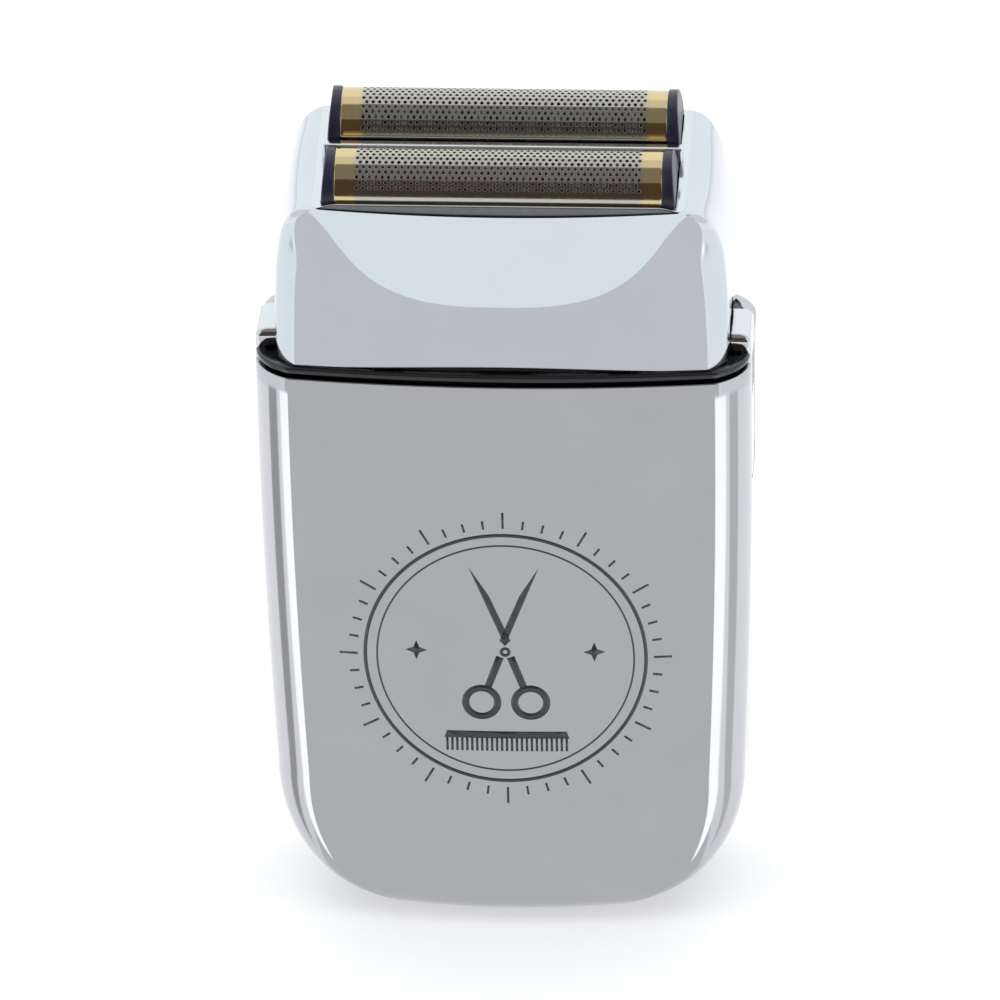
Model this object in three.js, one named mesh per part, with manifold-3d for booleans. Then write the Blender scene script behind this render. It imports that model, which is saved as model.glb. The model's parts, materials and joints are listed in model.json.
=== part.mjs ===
// A cordless twin-foil shaver. Millimetres, +Z up, the front faces -Y, +X is right.
// The origin is the middle of the flat foot that the shaver stands on.
import * as THREE from "three";
import { mergeVertices } from "three/addons/utils/BufferGeometryUtils.js";
import Module from "manifold-3d";

const wasm = await Module();
wasm.setup();

// ---- Driving dimensions ----
const GAP = 0.3; // kept between pieces that touch
const CORNER_STEPS = 4; // segments round each corner of a casing's plan
const FACE_STEPS = 6; // segments across a casing's crowned front or back

// Casing of the handle
const BODY_TOP = 84.2;
const BODY_HALF_WIDTH = 34;
const BODY_HALF_DEPTH = 15.5;
const BODY_FOOT_TOP = 22; // below this the sides curve in to the foot
const BODY_LOW_HALF_WIDTH = 32.4;
const FOOT_FILLET = 6;
const BODY_CORNER = 6.2;
const BODY_CROWN = 2.6;
const WALL = 1.6;
const FLOOR = 1.8;

// Black seal between handle and head
const RING_BOTTOM = BODY_TOP + 0.6;
const RING_TOP = RING_BOTTOM + 1;
const STEM_BOTTOM = BODY_TOP - 2.2;

// Removable head
const HEAD_BOTTOM = RING_TOP + GAP;
const HEAD_HALF_WIDTH = 30.95;
const HEAD_INNER_HALF_WIDTH = 27.6;
const HEAD_CORNER = 4.5;
const HEAD_CROWN_POWER = 2.75; // the head's front is flatter in the middle than the handle's
const HEAD_INNER_CROWN = 1.2;
const HEAD_WALL = 1.6;
const DECK_FRONT = 110.1;
const DECK_STEP = 2; // the rear half stands this much higher
const STEP_Y = 1; // where the deck steps up
const SCOOP_TOP_Y = 13.3; // a scoop in the front and one in the rear, from the deck's edge down
const SCOOP_SLOPE = 0.13;
const WINDOW_HALF_X = 24.6;
const WINDOW_HALF_Y = 12.3;
const FRAME_LIP = 0.7; // how far the bright frame reaches past the window, and how thick it is

// Foils
const FOIL_PITCH = 13.8;
const FOIL_RADIUS = 5.2;
const FOIL_SHEET = 0.3;
const FOIL_HALF_LENGTH = 22.4;
const CAP_HALF_LENGTH = 24;
const CAP_RADIUS = 5.35;
const CRADLE_DROP = 4.2; // from the arch centre down to the cradle's rails
const FOIL_CENTRE = DECK_FRONT + 0.45; // height of the front foil's arch centre
const FOILS = [
  { name: "front", y: -FOIL_PITCH / 2, z: FOIL_CENTRE, deck: DECK_FRONT },
  { name: "rear", y: FOIL_PITCH / 2, z: FOIL_CENTRE + DECK_STEP, deck: DECK_FRONT + DECK_STEP },
];

// Drive
const STROKE = 1.2; // half the cutters' side to side travel
const CUTTER_RADIUS = 4.4;
const CUTTER_HALF_LENGTH = 20.9;
const CUTTER_HALF_BASE = 3.2;
const CUTTER_DROP = 5.4; // from the arch centre down to the cutter's underside
const SLOTS_PER_CUTTER = 11;
const MOTOR_RADIUS = 9;
const MOTOR_BOTTOM = 50;
const MOTOR_TOP = 78.1;
const SHAFT_RADIUS = 1;
const SHAFT_TOP = 86.4;
const CAM_RADIUS = 3.9;
const CAM_BOTTOM = 84.6;
const CAM_TOP = 87.2;
const PIN_RADIUS = 1.2;
const PIN_TOP = 90;
const BRIDGE_BOTTOM = 87.7;
const BRIDGE_TOP = 90.7;
const GUIDE_Y = 8;
const GUIDE_Z = 89.2;
const GUIDE_RADIUS = 0.9;
const POST_X = 16;
const SPRING_BOTTOM = 98.9;
const SPRING_COIL_RADIUS = 2.1;
const SPRING_WIRE = 0.6;
const SPRING_TURNS = 4;
const SPIGOT_RADIUS = 1.1;

// Fastenings and openings
const PLATE_BOTTOM = 82.3;
const PLATE_TOP = 84;
const BRACKET_BOTTOM = MOTOR_TOP + GAP;
const BRACKET_TOP = BRACKET_BOTTOM + 2;
const BRACKET_SCREW_X = 14.5;
const MOTOR_SCREW_Y = 5.6;
const SCREW_RADIUS = 1;
const SCREW_HOLE = 1.3;
const SMALL_HEAD_RADIUS = 1.8;
const SMALL_HEAD_HEIGHT = 1.1;
const BOSS_X = 24;
const BOSS_HEIGHTS = { lower: 16, upper: 66 };
const FRONT_BOSS_RADIUS = 3;
const REAR_BOSS_RADIUS = 3.4;
const SHELL_SCREW_TIP = -7.5; // the shell screws go in from the rear
const SHELL_SCREW_SEAT = 10.9;
const SHELL_SCREW_END = 12.4;
const SHELL_HEAD_RADIUS = 2.05;
const CROSS_WIDTH = 0.5; // of a screw head's cross

// Release buttons, one in each side
const BUTTON_FRONT_Y = -7.3;
const BUTTON_BACK_Y = 1.3;
const BUTTON_BOTTOM = 65.7;
const BUTTON_TOP = 89.3;
const BUTTON_INNER_X = 32.2;
const EAR_INNER_X = 30.2; // the ear above the seal is thicker than the strip below it
const BUTTON_TRAVEL = 0.6;
const GROOVES = 5;
const GROOVE_PITCH = 1.2;
const GROOVE_WIDTH = 0.6;
const LEAF_INNER_X = 30.8; // the spring strip behind each button
const LEAF_THICK = 0.4;
const LEAF_BOTTOM = 67;
const LEAF_TOP = 78;
const LEAF_Y = [-5, -1];

// Power and charging
const BATTERY_RADIUS = 9;
const BATTERY_HALF_LENGTH = 25;
const BATTERY_Y = -1.5;
const BATTERY_Z = 33;
const TRAY_HALF_LENGTH = 23;
const TAB_THICK = 0.4;
const BOARD_Y = 9.6;
const BOARD_THICK = 1.2;
const BOARD_HALF_WIDTH = 12;
const BOARD_HEIGHTS = [20, 70];
const SOCKET_RADIUS = 5;
const SOCKET_BORE = 3.3;
const SOCKET_TOP = 11;
const SOCKET_COLLAR = 1.4;
const PLUG_PIN_RADIUS = 0.9;
const SWITCH_Z = 57.6; // middle of the slider when off
const SWITCH_TRAVEL = 4;
const SWITCH_THICK = 0.9;
const KNOB_HALF = [2.9, 3.4]; // half width and half height
const KNOB_END = 15.2;
const LIGHT_Z = 46;
const LIGHT_RADIUS = 1.5;

const PI = Math.PI;
const material = (colour, roughness, metalness) => ({ color: colour, roughness, metalness });
const SILVER = material("#c9ccd2", 0.18, 1);
const BLACK = material("#17181b", 0.45, 0);
const NAVY = material("#14141f", 0.35, 0);
const GOLD = material("#c9a35a", 0.25, 1);
const STEEL = material("#b9bcc0", 0.35, 1);
const BRASS = material("#b58d3d", 0.35, 1);
const WHITE = material("#dedfdc", 0.5, 0);
const GREEN = material("#1d5a38", 0.5, 0);
const BLUE = material("#2d5fa8", 0.4, 0);
const GLOW = material("#bcd6ee", 0.2, 0);

// ---- Solids ----
function solid(geometry) {
  const bare = geometry.clone();
  bare.deleteAttribute("normal");
  bare.deleteAttribute("uv");
  const merged = mergeVertices(bare, 1e-4);
  const mesh = new wasm.Mesh({
    numProp: 3,
    vertProperties: merged.attributes.position.array,
    triVerts: new Uint32Array(merged.index.array),
  });
  return new wasm.Manifold(mesh);
}

function geometryOf(manifold) {
  const mesh = manifold.getMesh();
  const geometry = new THREE.BufferGeometry();
  geometry.setAttribute("position", new THREE.BufferAttribute(mesh.vertProperties, 3));
  geometry.setIndex(new THREE.BufferAttribute(mesh.triVerts, 1));
  return geometry;
}

const join = (first, ...rest) => rest.reduce((sum, next) => sum.add(next), first);
const cut = (first, ...rest) => rest.reduce((sum, next) => sum.subtract(next), first);

// A box between two opposite corners.
function box(low, high) {
  const size = high.map((value, axis) => value - low[axis]);
  const middle = high.map((value, axis) => (value + low[axis]) / 2);
  return solid(new THREE.BoxGeometry(...size).translate(...middle));
}

// A round bar along X, Y or Z from one place to another, through a centre given on the other two axes.
function bar(axis, radius, from, to, centre, segments = 20) {
  const geometry = new THREE.CylinderGeometry(radius, radius, to - from, segments);
  const middle = (from + to) / 2;
  if (axis === "x") geometry.rotateZ(-PI / 2).translate(middle, centre[0], centre[1]);
  if (axis === "y") geometry.translate(centre[0], middle, centre[1]);
  if (axis === "z") geometry.rotateX(PI / 2).translate(centre[0], centre[1], middle);
  return solid(geometry);
}

// An outline in the Y-Z plane, carried along X.
function alongX(shape, from, to, segments = 12) {
  const geometry = new THREE.ExtrudeGeometry(shape, {
    depth: to - from,
    bevelEnabled: false,
    curveSegments: segments,
  });
  const basis = new THREE.Matrix4().makeBasis(
    new THREE.Vector3(0, 1, 0),
    new THREE.Vector3(0, 0, 1),
    new THREE.Vector3(1, 0, 0),
  );
  return solid(geometry.applyMatrix4(basis).translate(from, 0, 0));
}

// One level of a casing: a rectangle with round corners and crowned front and back, anticlockwise from above.
function ring(z, halfWidth, halfDepth, corner, crown, power = 2) {
  const flat = halfDepth - crown;
  const points = [];
  const sides = [[1, -1], [1, 1], [-1, 1], [-1, -1]];
  sides.forEach(([sideX, sideY], quarter) => {
    for (let step = 0; step <= CORNER_STEPS; step++) {
      const angle = (quarter - 1 + step / CORNER_STEPS) * (PI / 2);
      points.push([
        sideX * (halfWidth - corner) + corner * Math.cos(angle),
        sideY * (flat - corner) + corner * Math.sin(angle),
      ]);
    }
    for (let step = 1; quarter % 2 === 1 && step < FACE_STEPS; step++)
      points.push([sideX * (halfWidth - corner) * (1 - (2 * step) / FACE_STEPS), sideY * flat]);
  });
  return points.map(([x, y]) => {
    const bulge = 1 + (crown / flat) * (1 - Math.abs(x / halfWidth) ** power);
    return new THREE.Vector3(x, y * bulge, z);
  });
}

// A closed solid through rings that all have the same number of points, from the lowest up.
function loft(rings) {
  const count = rings[0].length;
  const points = rings.flat();
  const index = [];
  for (let level = 0; level < rings.length - 1; level++)
    for (let i = 0; i < count; i++) {
      const a = level * count + i;
      const b = level * count + ((i + 1) % count);
      index.push(a, b, b + count, a, b + count, a + count);
    }
  const top = (rings.length - 1) * count;
  const low = points.push(new THREE.Vector3(0, 0, rings[0][0].z)) - 1;
  const high = points.push(new THREE.Vector3(0, 0, rings.at(-1)[0].z)) - 1;
  for (let i = 0; i < count; i++) {
    const next = (i + 1) % count;
    index.push(low, next, i, high, top + i, top + next);
  }
  const geometry = new THREE.BufferGeometry().setFromPoints(points);
  geometry.setIndex(index);
  return solid(geometry);
}

// ---- Casing shapes ----
function bodyHalfWidth(z) {
  if (z >= BODY_FOOT_TOP) {
    const upTo = THREE.MathUtils.clamp((z - BODY_FOOT_TOP) / (BODY_TOP - BODY_FOOT_TOP), 0, 1);
    const ease = 1 - (1 - upTo) ** 2;
    return THREE.MathUtils.lerp(BODY_LOW_HALF_WIDTH, BODY_HALF_WIDTH, ease);
  }
  const straight = 8; // half the width of the foot's straight stretch
  const power = 2.3;
  const drop = (BODY_FOOT_TOP - Math.max(z, 0)) / (BODY_FOOT_TOP + 1);
  return straight + (BODY_LOW_HALF_WIDTH - straight) * (1 - drop ** power) ** (1 / power);
}

function bodyHalfDepth(z) {
  const low = BODY_HALF_DEPTH - 0.5;
  if (z >= FOOT_FILLET) return low + (0.5 * (Math.min(z, BODY_TOP) - FOOT_FILLET)) / (BODY_TOP - FOOT_FILLET);
  const rise = FOOT_FILLET - Math.max(z, 0);
  return low - FOOT_FILLET + Math.sqrt(FOOT_FILLET ** 2 - rise ** 2);
}

// The handle's outline at one level, drawn in by an inset.
function bodyRing(z, inset = 0) {
  const width = Math.min(bodyHalfWidth(z) - inset, bodyHalfWidth(z - inset) - inset / 2);
  const depth = Math.min(bodyHalfDepth(z) - inset, bodyHalfDepth(z - inset) - inset / 2);
  return ring(z, width, depth, BODY_CORNER - Math.min(inset, 3), BODY_CROWN);
}

const bodyLoft = (levels, inset) => loft(levels.map((z) => bodyRing(z, inset)));

const HEAD_LEVELS = [
  // height above the head's lower edge, half width, half depth, crown
  [0, HEAD_HALF_WIDTH, 14.1, 2.6],
  [5.5, 30.85, 14.5, 2.9],
  [11, 30.5, 15.1, 3.3],
  [16, 29.8, 15.4, 3.5],
  [20, 28.8, 15.1, 2.6],
  [23, 27.6, 14.5, 1.8],
  [25, 26.5, 13.9, 1.1],
  [DECK_FRONT + DECK_STEP - HEAD_BOTTOM, 25.6, 13.5, 0.6],
];

function headLoft(inset, levels) {
  return loft(
    levels.map(([rise, halfWidth, halfDepth, crown]) =>
      ring(
        HEAD_BOTTOM + rise,
        inset ? Math.min(halfWidth - inset, HEAD_INNER_HALF_WIDTH) : halfWidth,
        inset ? Math.min(halfDepth - inset, WINDOW_HALF_Y) : halfDepth,
        HEAD_CORNER - inset / 2,
        inset ? HEAD_INNER_CROWN : crown,
        HEAD_CROWN_POWER,
      ),
    ),
  );
}

// ---- Handle ----
const OUTER_LEVELS = [0, 1, 2.5, 4.5, 7, 10, 14, 19, BODY_FOOT_TOP, 40, 60, BODY_TOP];
const INNER_LEVELS = [FLOOR, 3, 5, 8, 12, 17, BODY_FOOT_TOP, 40, 60, BODY_TOP + 1];

function screwBoss(sideX, z, from, to, radius) {
  return bar("y", radius, from, to, [sideX * BOSS_X, z], 16);
}

function eachBoss(make) {
  return [-1, 1].flatMap((sideX) => Object.values(BOSS_HEIGHTS).map((z) => make(sideX, z)));
}

function buttonSlot(side) {
  const [from, to] = spanX(side, BUTTON_INNER_X - 1, 40);
  return box(
    [from, BUTTON_FRONT_Y - GAP, BUTTON_BOTTOM - GAP],
    [to, BUTTON_BACK_Y + GAP, BODY_TOP + 10],
  );
}

function halfShell(side) {
  // side -1 is the front shell, 1 the rear one
  const far = BODY_HALF_DEPTH + 1;
  const keep = box([-40, side < 0 ? -far : GAP / 2, -1], [40, side < 0 ? -GAP / 2 : far, BODY_TOP + 2]);
  const outer = bodyLoft(OUTER_LEVELS, 0);
  const bosses = eachBoss((sideX, z) =>
    side < 0
      ? screwBoss(sideX, z, -BODY_HALF_DEPTH, 0, FRONT_BOSS_RADIUS)
      : screwBoss(sideX, z, 0, SHELL_SCREW_END + GAP, REAR_BOSS_RADIUS),
  );
  const bossRoom = outer.intersect(join(...bosses));
  const walls = cut(outer, bodyLoft(INNER_LEVELS, WALL));
  const holes = eachBoss((sideX, z) => screwBoss(sideX, z, side < 0 ? SHELL_SCREW_TIP - 1 : -1, 2, SCREW_HOLE));
  return cut(
    join(walls, bossRoom).intersect(keep),
    ...holes,
    buttonSlot(-1),
    buttonSlot(1),
    bar("z", SOCKET_RADIUS + GAP, -1, FLOOR + 1, [0, 0], 20),
  );
}

function rearShell() {
  const headRadius = SHELL_HEAD_RADIUS + GAP;
  const headRooms = eachBoss((sideX, z) => screwBoss(sideX, z, SHELL_SCREW_SEAT - GAP, 20, headRadius));
  const shankRooms = eachBoss((sideX, z) => screwBoss(sideX, z, -1, SHELL_SCREW_SEAT + 1, SCREW_HOLE));
  const [slotHalfX, slotHalfZ] = KNOB_HALF.map((half) => half + GAP + 0.1);
  const sliderSlot = box(
    [-slotHalfX, 9, SWITCH_Z - slotHalfZ],
    [slotHalfX, 20, SWITCH_Z + slotHalfZ + SWITCH_TRAVEL],
  );
  const lightHole = bar("y", LIGHT_RADIUS + GAP, 9, 20, [0, LIGHT_Z]);
  return cut(halfShell(1), ...headRooms, ...shankRooms, sliderSlot, lightHole);
}

// A cross-head screw along Y, its head towards +Y.
function shellScrew(sideX, z) {
  const x = sideX * BOSS_X;
  const shape = join(
    bar("y", SHELL_HEAD_RADIUS, SHELL_SCREW_SEAT, SHELL_SCREW_END, [x, z], 16),
    bar("y", SCREW_RADIUS, SHELL_SCREW_TIP, SHELL_SCREW_SEAT + 0.1, [x, z], 10),
  );
  const arm = SHELL_HEAD_RADIUS - 0.75;
  const narrow = CROSS_WIDTH / 2;
  const floor = SHELL_SCREW_END - 0.7;
  return cut(
    shape,
    box([x - arm, floor, z - narrow], [x + arm, SHELL_SCREW_END + 1, z + narrow]),
    box([x - narrow, floor, z - arm], [x + narrow, SHELL_SCREW_END + 1, z + arm]),
  );
}

function sealRing() {
  // a raised lip in front of the buttons, a flange behind it and a stem that reaches down inside the shells
  const through = [STEM_BOTTOM - 1, RING_TOP + 1];
  const rearHalf = box([-40, 0, RING_BOTTOM - 0.1], [40, 40, RING_TOP + 1]);
  const lip = cut(bodyLoft([RING_BOTTOM, RING_TOP], 0.1), bodyLoft(through, 1), rearHalf);
  const flangeHeights = [RING_BOTTOM, RING_BOTTOM + 0.5];
  const flange = join(
    cut(bodyLoft(flangeHeights, 0.9), rearHalf),
    bodyLoft(flangeHeights, WALL + 0.6).intersect(rearHalf),
  );
  const stem = bodyLoft([STEM_BOTTOM, RING_BOTTOM + 0.2], WALL + GAP);
  const buttonGaps = [-1, 1].map((side) => {
    const [near, far] = spanX(side, BUTTON_INNER_X - 1.2, 40);
    return box([near, BUTTON_FRONT_Y - GAP, STEM_BOTTOM - 1], [far, BUTTON_BACK_Y + GAP, RING_TOP + 1]);
  });
  return cut(
    join(lip, flange, stem),
    bodyLoft([STEM_BOTTOM - 1, RING_BOTTOM + 0.1], WALL + GAP + 1),
    bodyLoft(through, WALL + GAP + 2.5),
    ...buttonGaps,
  );
}

function topPlate() {
  // with a post for each end of the guide rods, and standoffs for the motor bracket below
  const post = { halfX: 1.5, halfY: 1.9, over: 2.2 };
  const posts = [];
  for (const x of [-POST_X, POST_X])
    for (const y of [-GUIDE_Y, GUIDE_Y])
      posts.push(
        cut(
          box(
            [x - post.halfX, y - post.halfY, PLATE_TOP - 0.5],
            [x + post.halfX, y + post.halfY, GUIDE_Z + post.over],
          ),
          bar("x", GUIDE_RADIUS + GAP, x - 3, x + 3, [y, GUIDE_Z], 12),
        ),
      );
  const standoffs = [-1, 1].map((side) =>
    bar("z", 2.6, BRACKET_TOP + GAP, PLATE_BOTTOM + 0.5, [side * BRACKET_SCREW_X, 0], 16),
  );
  const pilots = [-1, 1].map((side) =>
    bar("z", SCREW_HOLE, BRACKET_TOP, PLATE_TOP - 0.4, [side * BRACKET_SCREW_X, 0], 12),
  );
  const plate = bodyLoft([PLATE_BOTTOM, PLATE_TOP], WALL + 2 * GAP + 1.1);
  return cut(
    join(plate, ...posts, ...standoffs),
    bar("z", CAM_RADIUS + 1.1, PLATE_BOTTOM - 1, PLATE_TOP + 1, [0, 0], 24),
    ...pilots,
  );
}

// ---- Release buttons ----
function buttonOutline() {
  const corner = 2;
  const dome = 2.4;
  const shape = new THREE.Shape();
  shape.moveTo(BUTTON_FRONT_Y, BUTTON_TOP - dome);
  shape.lineTo(BUTTON_FRONT_Y, BUTTON_BOTTOM + corner);
  shape.absarc(BUTTON_FRONT_Y + corner, BUTTON_BOTTOM + corner, corner, PI, 1.5 * PI, false);
  shape.lineTo(BUTTON_BACK_Y - corner, BUTTON_BOTTOM);
  shape.absarc(BUTTON_BACK_Y - corner, BUTTON_BOTTOM + corner, corner, 1.5 * PI, 2 * PI, false);
  shape.lineTo(BUTTON_BACK_Y, BUTTON_TOP - dome);
  shape.quadraticCurveTo(BUTTON_BACK_Y, BUTTON_TOP, BUTTON_BACK_Y - dome, BUTTON_TOP);
  shape.lineTo(BUTTON_FRONT_Y + dome, BUTTON_TOP);
  shape.quadraticCurveTo(BUTTON_FRONT_Y, BUTTON_TOP, BUTTON_FRONT_Y, BUTTON_TOP - dome);
  return shape;
}

// Two distances from the middle plane, put in order on the side asked for.
const spanX = (side, near, far) => [Math.min(side * near, side * far), Math.max(side * near, side * far)];

function releaseButton(side) {
  const strip = alongX(buttonOutline(), ...spanX(side, BUTTON_INNER_X, 40), 5);
  const ear = alongX(buttonOutline(), ...spanX(side, EAR_INNER_X, 40), 5).intersect(
    box([-40, -20, HEAD_BOTTOM], [40, 20, BUTTON_TOP + 1]),
  );
  const slab = join(strip, ear);
  const skin = bodyLoft([60, 70, BODY_TOP, BUTTON_TOP + 1], 0);
  const deepest = side * (BODY_HALF_WIDTH + 0.6);
  const grooves = [...Array(GROOVES).keys()].map((i) => {
    const z = RING_BOTTOM - 0.3 - (i + 1) * GROOVE_PITCH;
    return box(
      [deepest - 1, BUTTON_FRONT_Y + 1.5, z],
      [deepest + 1, BUTTON_BACK_Y - 1.5, z + GROOVE_WIDTH],
    );
  });
  return cut(slab.intersect(skin), ...grooves);
}

// A bent strip that pushes the button outwards: its foot is fixed to the motor bracket's height.
function releaseSpring(side) {
  const [front, back] = LEAF_Y;
  const outer = LEAF_INNER_X + LEAF_THICK;
  const [near, far] = spanX(side, LEAF_INNER_X, outer);
  const [footNear, footFar] = spanX(side, LEAF_INNER_X - 1.8, outer);
  const leaf = box([near, front, LEAF_BOTTOM], [far, back, LEAF_TOP]);
  const foot = box([footNear, front, LEAF_BOTTOM], [footFar, back, LEAF_BOTTOM + LEAF_THICK]);
  const nose = bar("y", 0.6, front, back, [side * (outer + 0.1), LEAF_TOP - 0.6], 10);
  return join(leaf, foot, nose);
}

// ---- Power ----
const battery = () => bar("x", BATTERY_RADIUS, -BATTERY_HALF_LENGTH, BATTERY_HALF_LENGTH, [BATTERY_Y, BATTERY_Z], 24);

function batteryCradle() {
  const halfDepth = BATTERY_RADIUS - 1.1;
  const tray = box(
    [-TRAY_HALF_LENGTH, BATTERY_Y - halfDepth, BATTERY_Z - BATTERY_RADIUS - 1.8],
    [TRAY_HALF_LENGTH, BATTERY_Y + halfDepth, BATTERY_Z - 2],
  );
  const room = bar("x", BATTERY_RADIUS + GAP, -30, 30, [BATTERY_Y, BATTERY_Z], 24);
  return cut(tray, room);
}

function batteryTab(side) {
  const start = BATTERY_HALF_LENGTH + GAP;
  const [near, far] = spanX(side, start, start + TAB_THICK);
  return box([near, BATTERY_Y - 3, BATTERY_Z - 4], [far, BATTERY_Y + 3, BATTERY_Z + 4]);
}

const ON_BOARD = BOARD_Y + BOARD_THICK + GAP; // where the parts on the board's rear face start
const circuitBoard = () =>
  box(
    [-BOARD_HALF_WIDTH, BOARD_Y, BOARD_HEIGHTS[0]],
    [BOARD_HALF_WIDTH, BOARD_Y + BOARD_THICK, BOARD_HEIGHTS[1]],
  );
const switchModule = () =>
  box([-4, ON_BOARD, SWITCH_Z - 5], [4, ON_BOARD + SWITCH_THICK, SWITCH_Z + 7]);
const statusLed = () =>
  box([-0.9, ON_BOARD, LIGHT_Z - 0.9], [0.9, ON_BOARD + SWITCH_THICK, LIGHT_Z + 0.9]);

function lightPipe() {
  const start = ON_BOARD + SWITCH_THICK + 0.4;
  return join(
    bar("y", LIGHT_RADIUS, start + 0.2, KNOB_END - 0.1, [0, LIGHT_Z], 16),
    bar("y", LIGHT_RADIUS + 0.8, start, start + 0.8, [0, LIGHT_Z], 16),
  );
}

function powerSwitch() {
  const start = ON_BOARD + SWITCH_THICK + GAP;
  const [halfX, halfZ] = KNOB_HALF;
  const flange = box([-5, start, SWITCH_Z - 5.2], [5, start + SWITCH_THICK, SWITCH_Z + 5.2]);
  const knob = box([-halfX, start + 0.5, SWITCH_Z - halfZ], [halfX, KNOB_END, SWITCH_Z + halfZ]);
  const grooves = [-2, -1, 0, 1, 2].map((i) => {
    const z = SWITCH_Z + i * GROOVE_PITCH;
    return box([-4, KNOB_END - 0.4, z - GROOVE_WIDTH / 2], [4, KNOB_END + 1, z + GROOVE_WIDTH / 2]);
  });
  return join(flange, cut(knob, ...grooves));
}

function chargingSocket() {
  const barrel = join(
    bar("z", SOCKET_RADIUS, GAP, SOCKET_TOP, [0, 0], 20),
    bar("z", SOCKET_RADIUS + SOCKET_COLLAR, FLOOR + GAP, FLOOR + GAP + 1.2, [0, 0], 20),
  );
  const bore = bar("z", SOCKET_BORE, -1, SOCKET_TOP - 1.2, [0, 0], 20);
  const pin = bar("z", PLUG_PIN_RADIUS, 6, SOCKET_TOP - 1, [0, 0], 12);
  return join(cut(barrel, bore), pin);
}

// ---- Motor and drive ----
function motorCan() {
  const can = join(
    bar("z", MOTOR_RADIUS, MOTOR_BOTTOM, MOTOR_TOP, [0, 0], 24),
    bar("z", 3.2, MOTOR_TOP - 0.5, MOTOR_TOP + 1.2, [0, 0], 20),
  );
  const screwHoles = [-1, 1].map((side) => bar("z", SCREW_HOLE, MOTOR_TOP - 4, MOTOR_TOP + 1, [0, side * MOTOR_SCREW_Y], 12));
  return cut(can, bar("z", SHAFT_RADIUS + GAP, MOTOR_TOP - 9, MOTOR_TOP + 2, [0, 0], 12), ...screwHoles);
}

const motorEndCap = () =>
  join(
    bar("z", MOTOR_RADIUS - 0.4, MOTOR_BOTTOM - GAP - 1.6, MOTOR_BOTTOM - GAP, [0, 0], 20),
    bar("z", 3, MOTOR_BOTTOM - GAP - 3, MOTOR_BOTTOM - GAP, [0, 0], 16),
  );
const motorShaft = () => bar("z", SHAFT_RADIUS, MOTOR_TOP - 8.5, SHAFT_TOP, [0, 0], 32);

function eccentricCam() {
  return cut(
    join(
      bar("z", CAM_RADIUS, CAM_BOTTOM, CAM_TOP, [0, 0], 24),
      bar("z", PIN_RADIUS, CAM_TOP - 0.5, PIN_TOP, [STROKE, 0], 14),
    ),
    bar("z", SHAFT_RADIUS + GAP, CAM_BOTTOM - 1, SHAFT_TOP + GAP, [0, 0], 32),
  );
}

function motorBracket() {
  const holes = [-1, 1].flatMap((side) => [
    bar("z", SCREW_HOLE, 70, 90, [side * BRACKET_SCREW_X, 0], 12),
    bar("z", SCREW_HOLE, 70, 90, [0, side * MOTOR_SCREW_Y], 12),
  ]);
  return cut(
    box([-20, -8.5, BRACKET_BOTTOM], [20, 8.5, BRACKET_TOP]),
    bar("z", 3.5, 70, 90, [0, 0], 20),
    ...holes,
  );
}

// A small cross-head screw along Z: way 1 has its head on top, way -1 below.
function smallScrew(x, y, seat, way, length) {
  const head = [seat, seat + way * SMALL_HEAD_HEIGHT];
  const shank = [seat + way * 0.3, seat - way * length];
  const slot = [seat + way * 0.6, seat + way * 2];
  const arm = SMALL_HEAD_RADIUS - 0.7;
  const narrow = CROSS_WIDTH / 2 - 0.05;
  const shape = join(
    bar("z", SMALL_HEAD_RADIUS, Math.min(...head), Math.max(...head), [x, y], 14),
    bar("z", SCREW_RADIUS, Math.min(...shank), Math.max(...shank), [x, y], 10),
  );
  return cut(
    shape,
    box([x - arm, y - narrow, Math.min(...slot)], [x + arm, y + narrow, Math.max(...slot)]),
    box([x - narrow, y - arm, Math.min(...slot)], [x + narrow, y + arm, Math.max(...slot)]),
  );
}

const guideRod = (side) => bar("x", GUIDE_RADIUS, -POST_X - 2.4, POST_X + 2.4, [side * GUIDE_Y, GUIDE_Z], 12);

function oscillatingBridge() {
  const clearance = 0.15;
  const slotHalfX = PIN_RADIUS + 2 * STROKE + clearance;
  const slotHalfY = PIN_RADIUS + STROKE + clearance;
  const carriage = box([-11, -10.4, BRIDGE_BOTTOM], [11, 10.4, BRIDGE_TOP]);
  const slot = box([-slotHalfX, -slotHalfY, 80], [slotHalfX, slotHalfY, 95]);
  const bores = [-1, 1].map((side) => bar("x", GUIDE_RADIUS + GAP, -15, 15, [side * GUIDE_Y, GUIDE_Z], 12));
  const towers = FOILS.map(({ y, z, deck }) => {
    const seat = SPRING_BOTTOM - GAP + deck - DECK_FRONT;
    return join(
      box([-4, y - 2.6, BRIDGE_TOP - 0.5], [4, y + 2.6, seat]),
      bar("z", SPIGOT_RADIUS, seat - 0.5, z - CUTTER_DROP + 0.6, [0, y], 14),
    );
  });
  return join(cut(carriage, slot, ...bores), ...towers);
}

function archOutline(y, z, outer, inner, legs) {
  const shape = new THREE.Shape();
  shape.moveTo(y + outer, z - legs);
  shape.lineTo(y + outer, z);
  shape.absarc(y, z, outer, 0, PI, false);
  shape.lineTo(y - outer, z - legs);
  if (inner > 0) {
    shape.lineTo(y - inner, z - legs);
    shape.lineTo(y - inner, z);
    shape.absarc(y, z, inner, PI, 0, true);
    shape.lineTo(y + inner, z - legs);
  }
  return shape;
}

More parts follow.
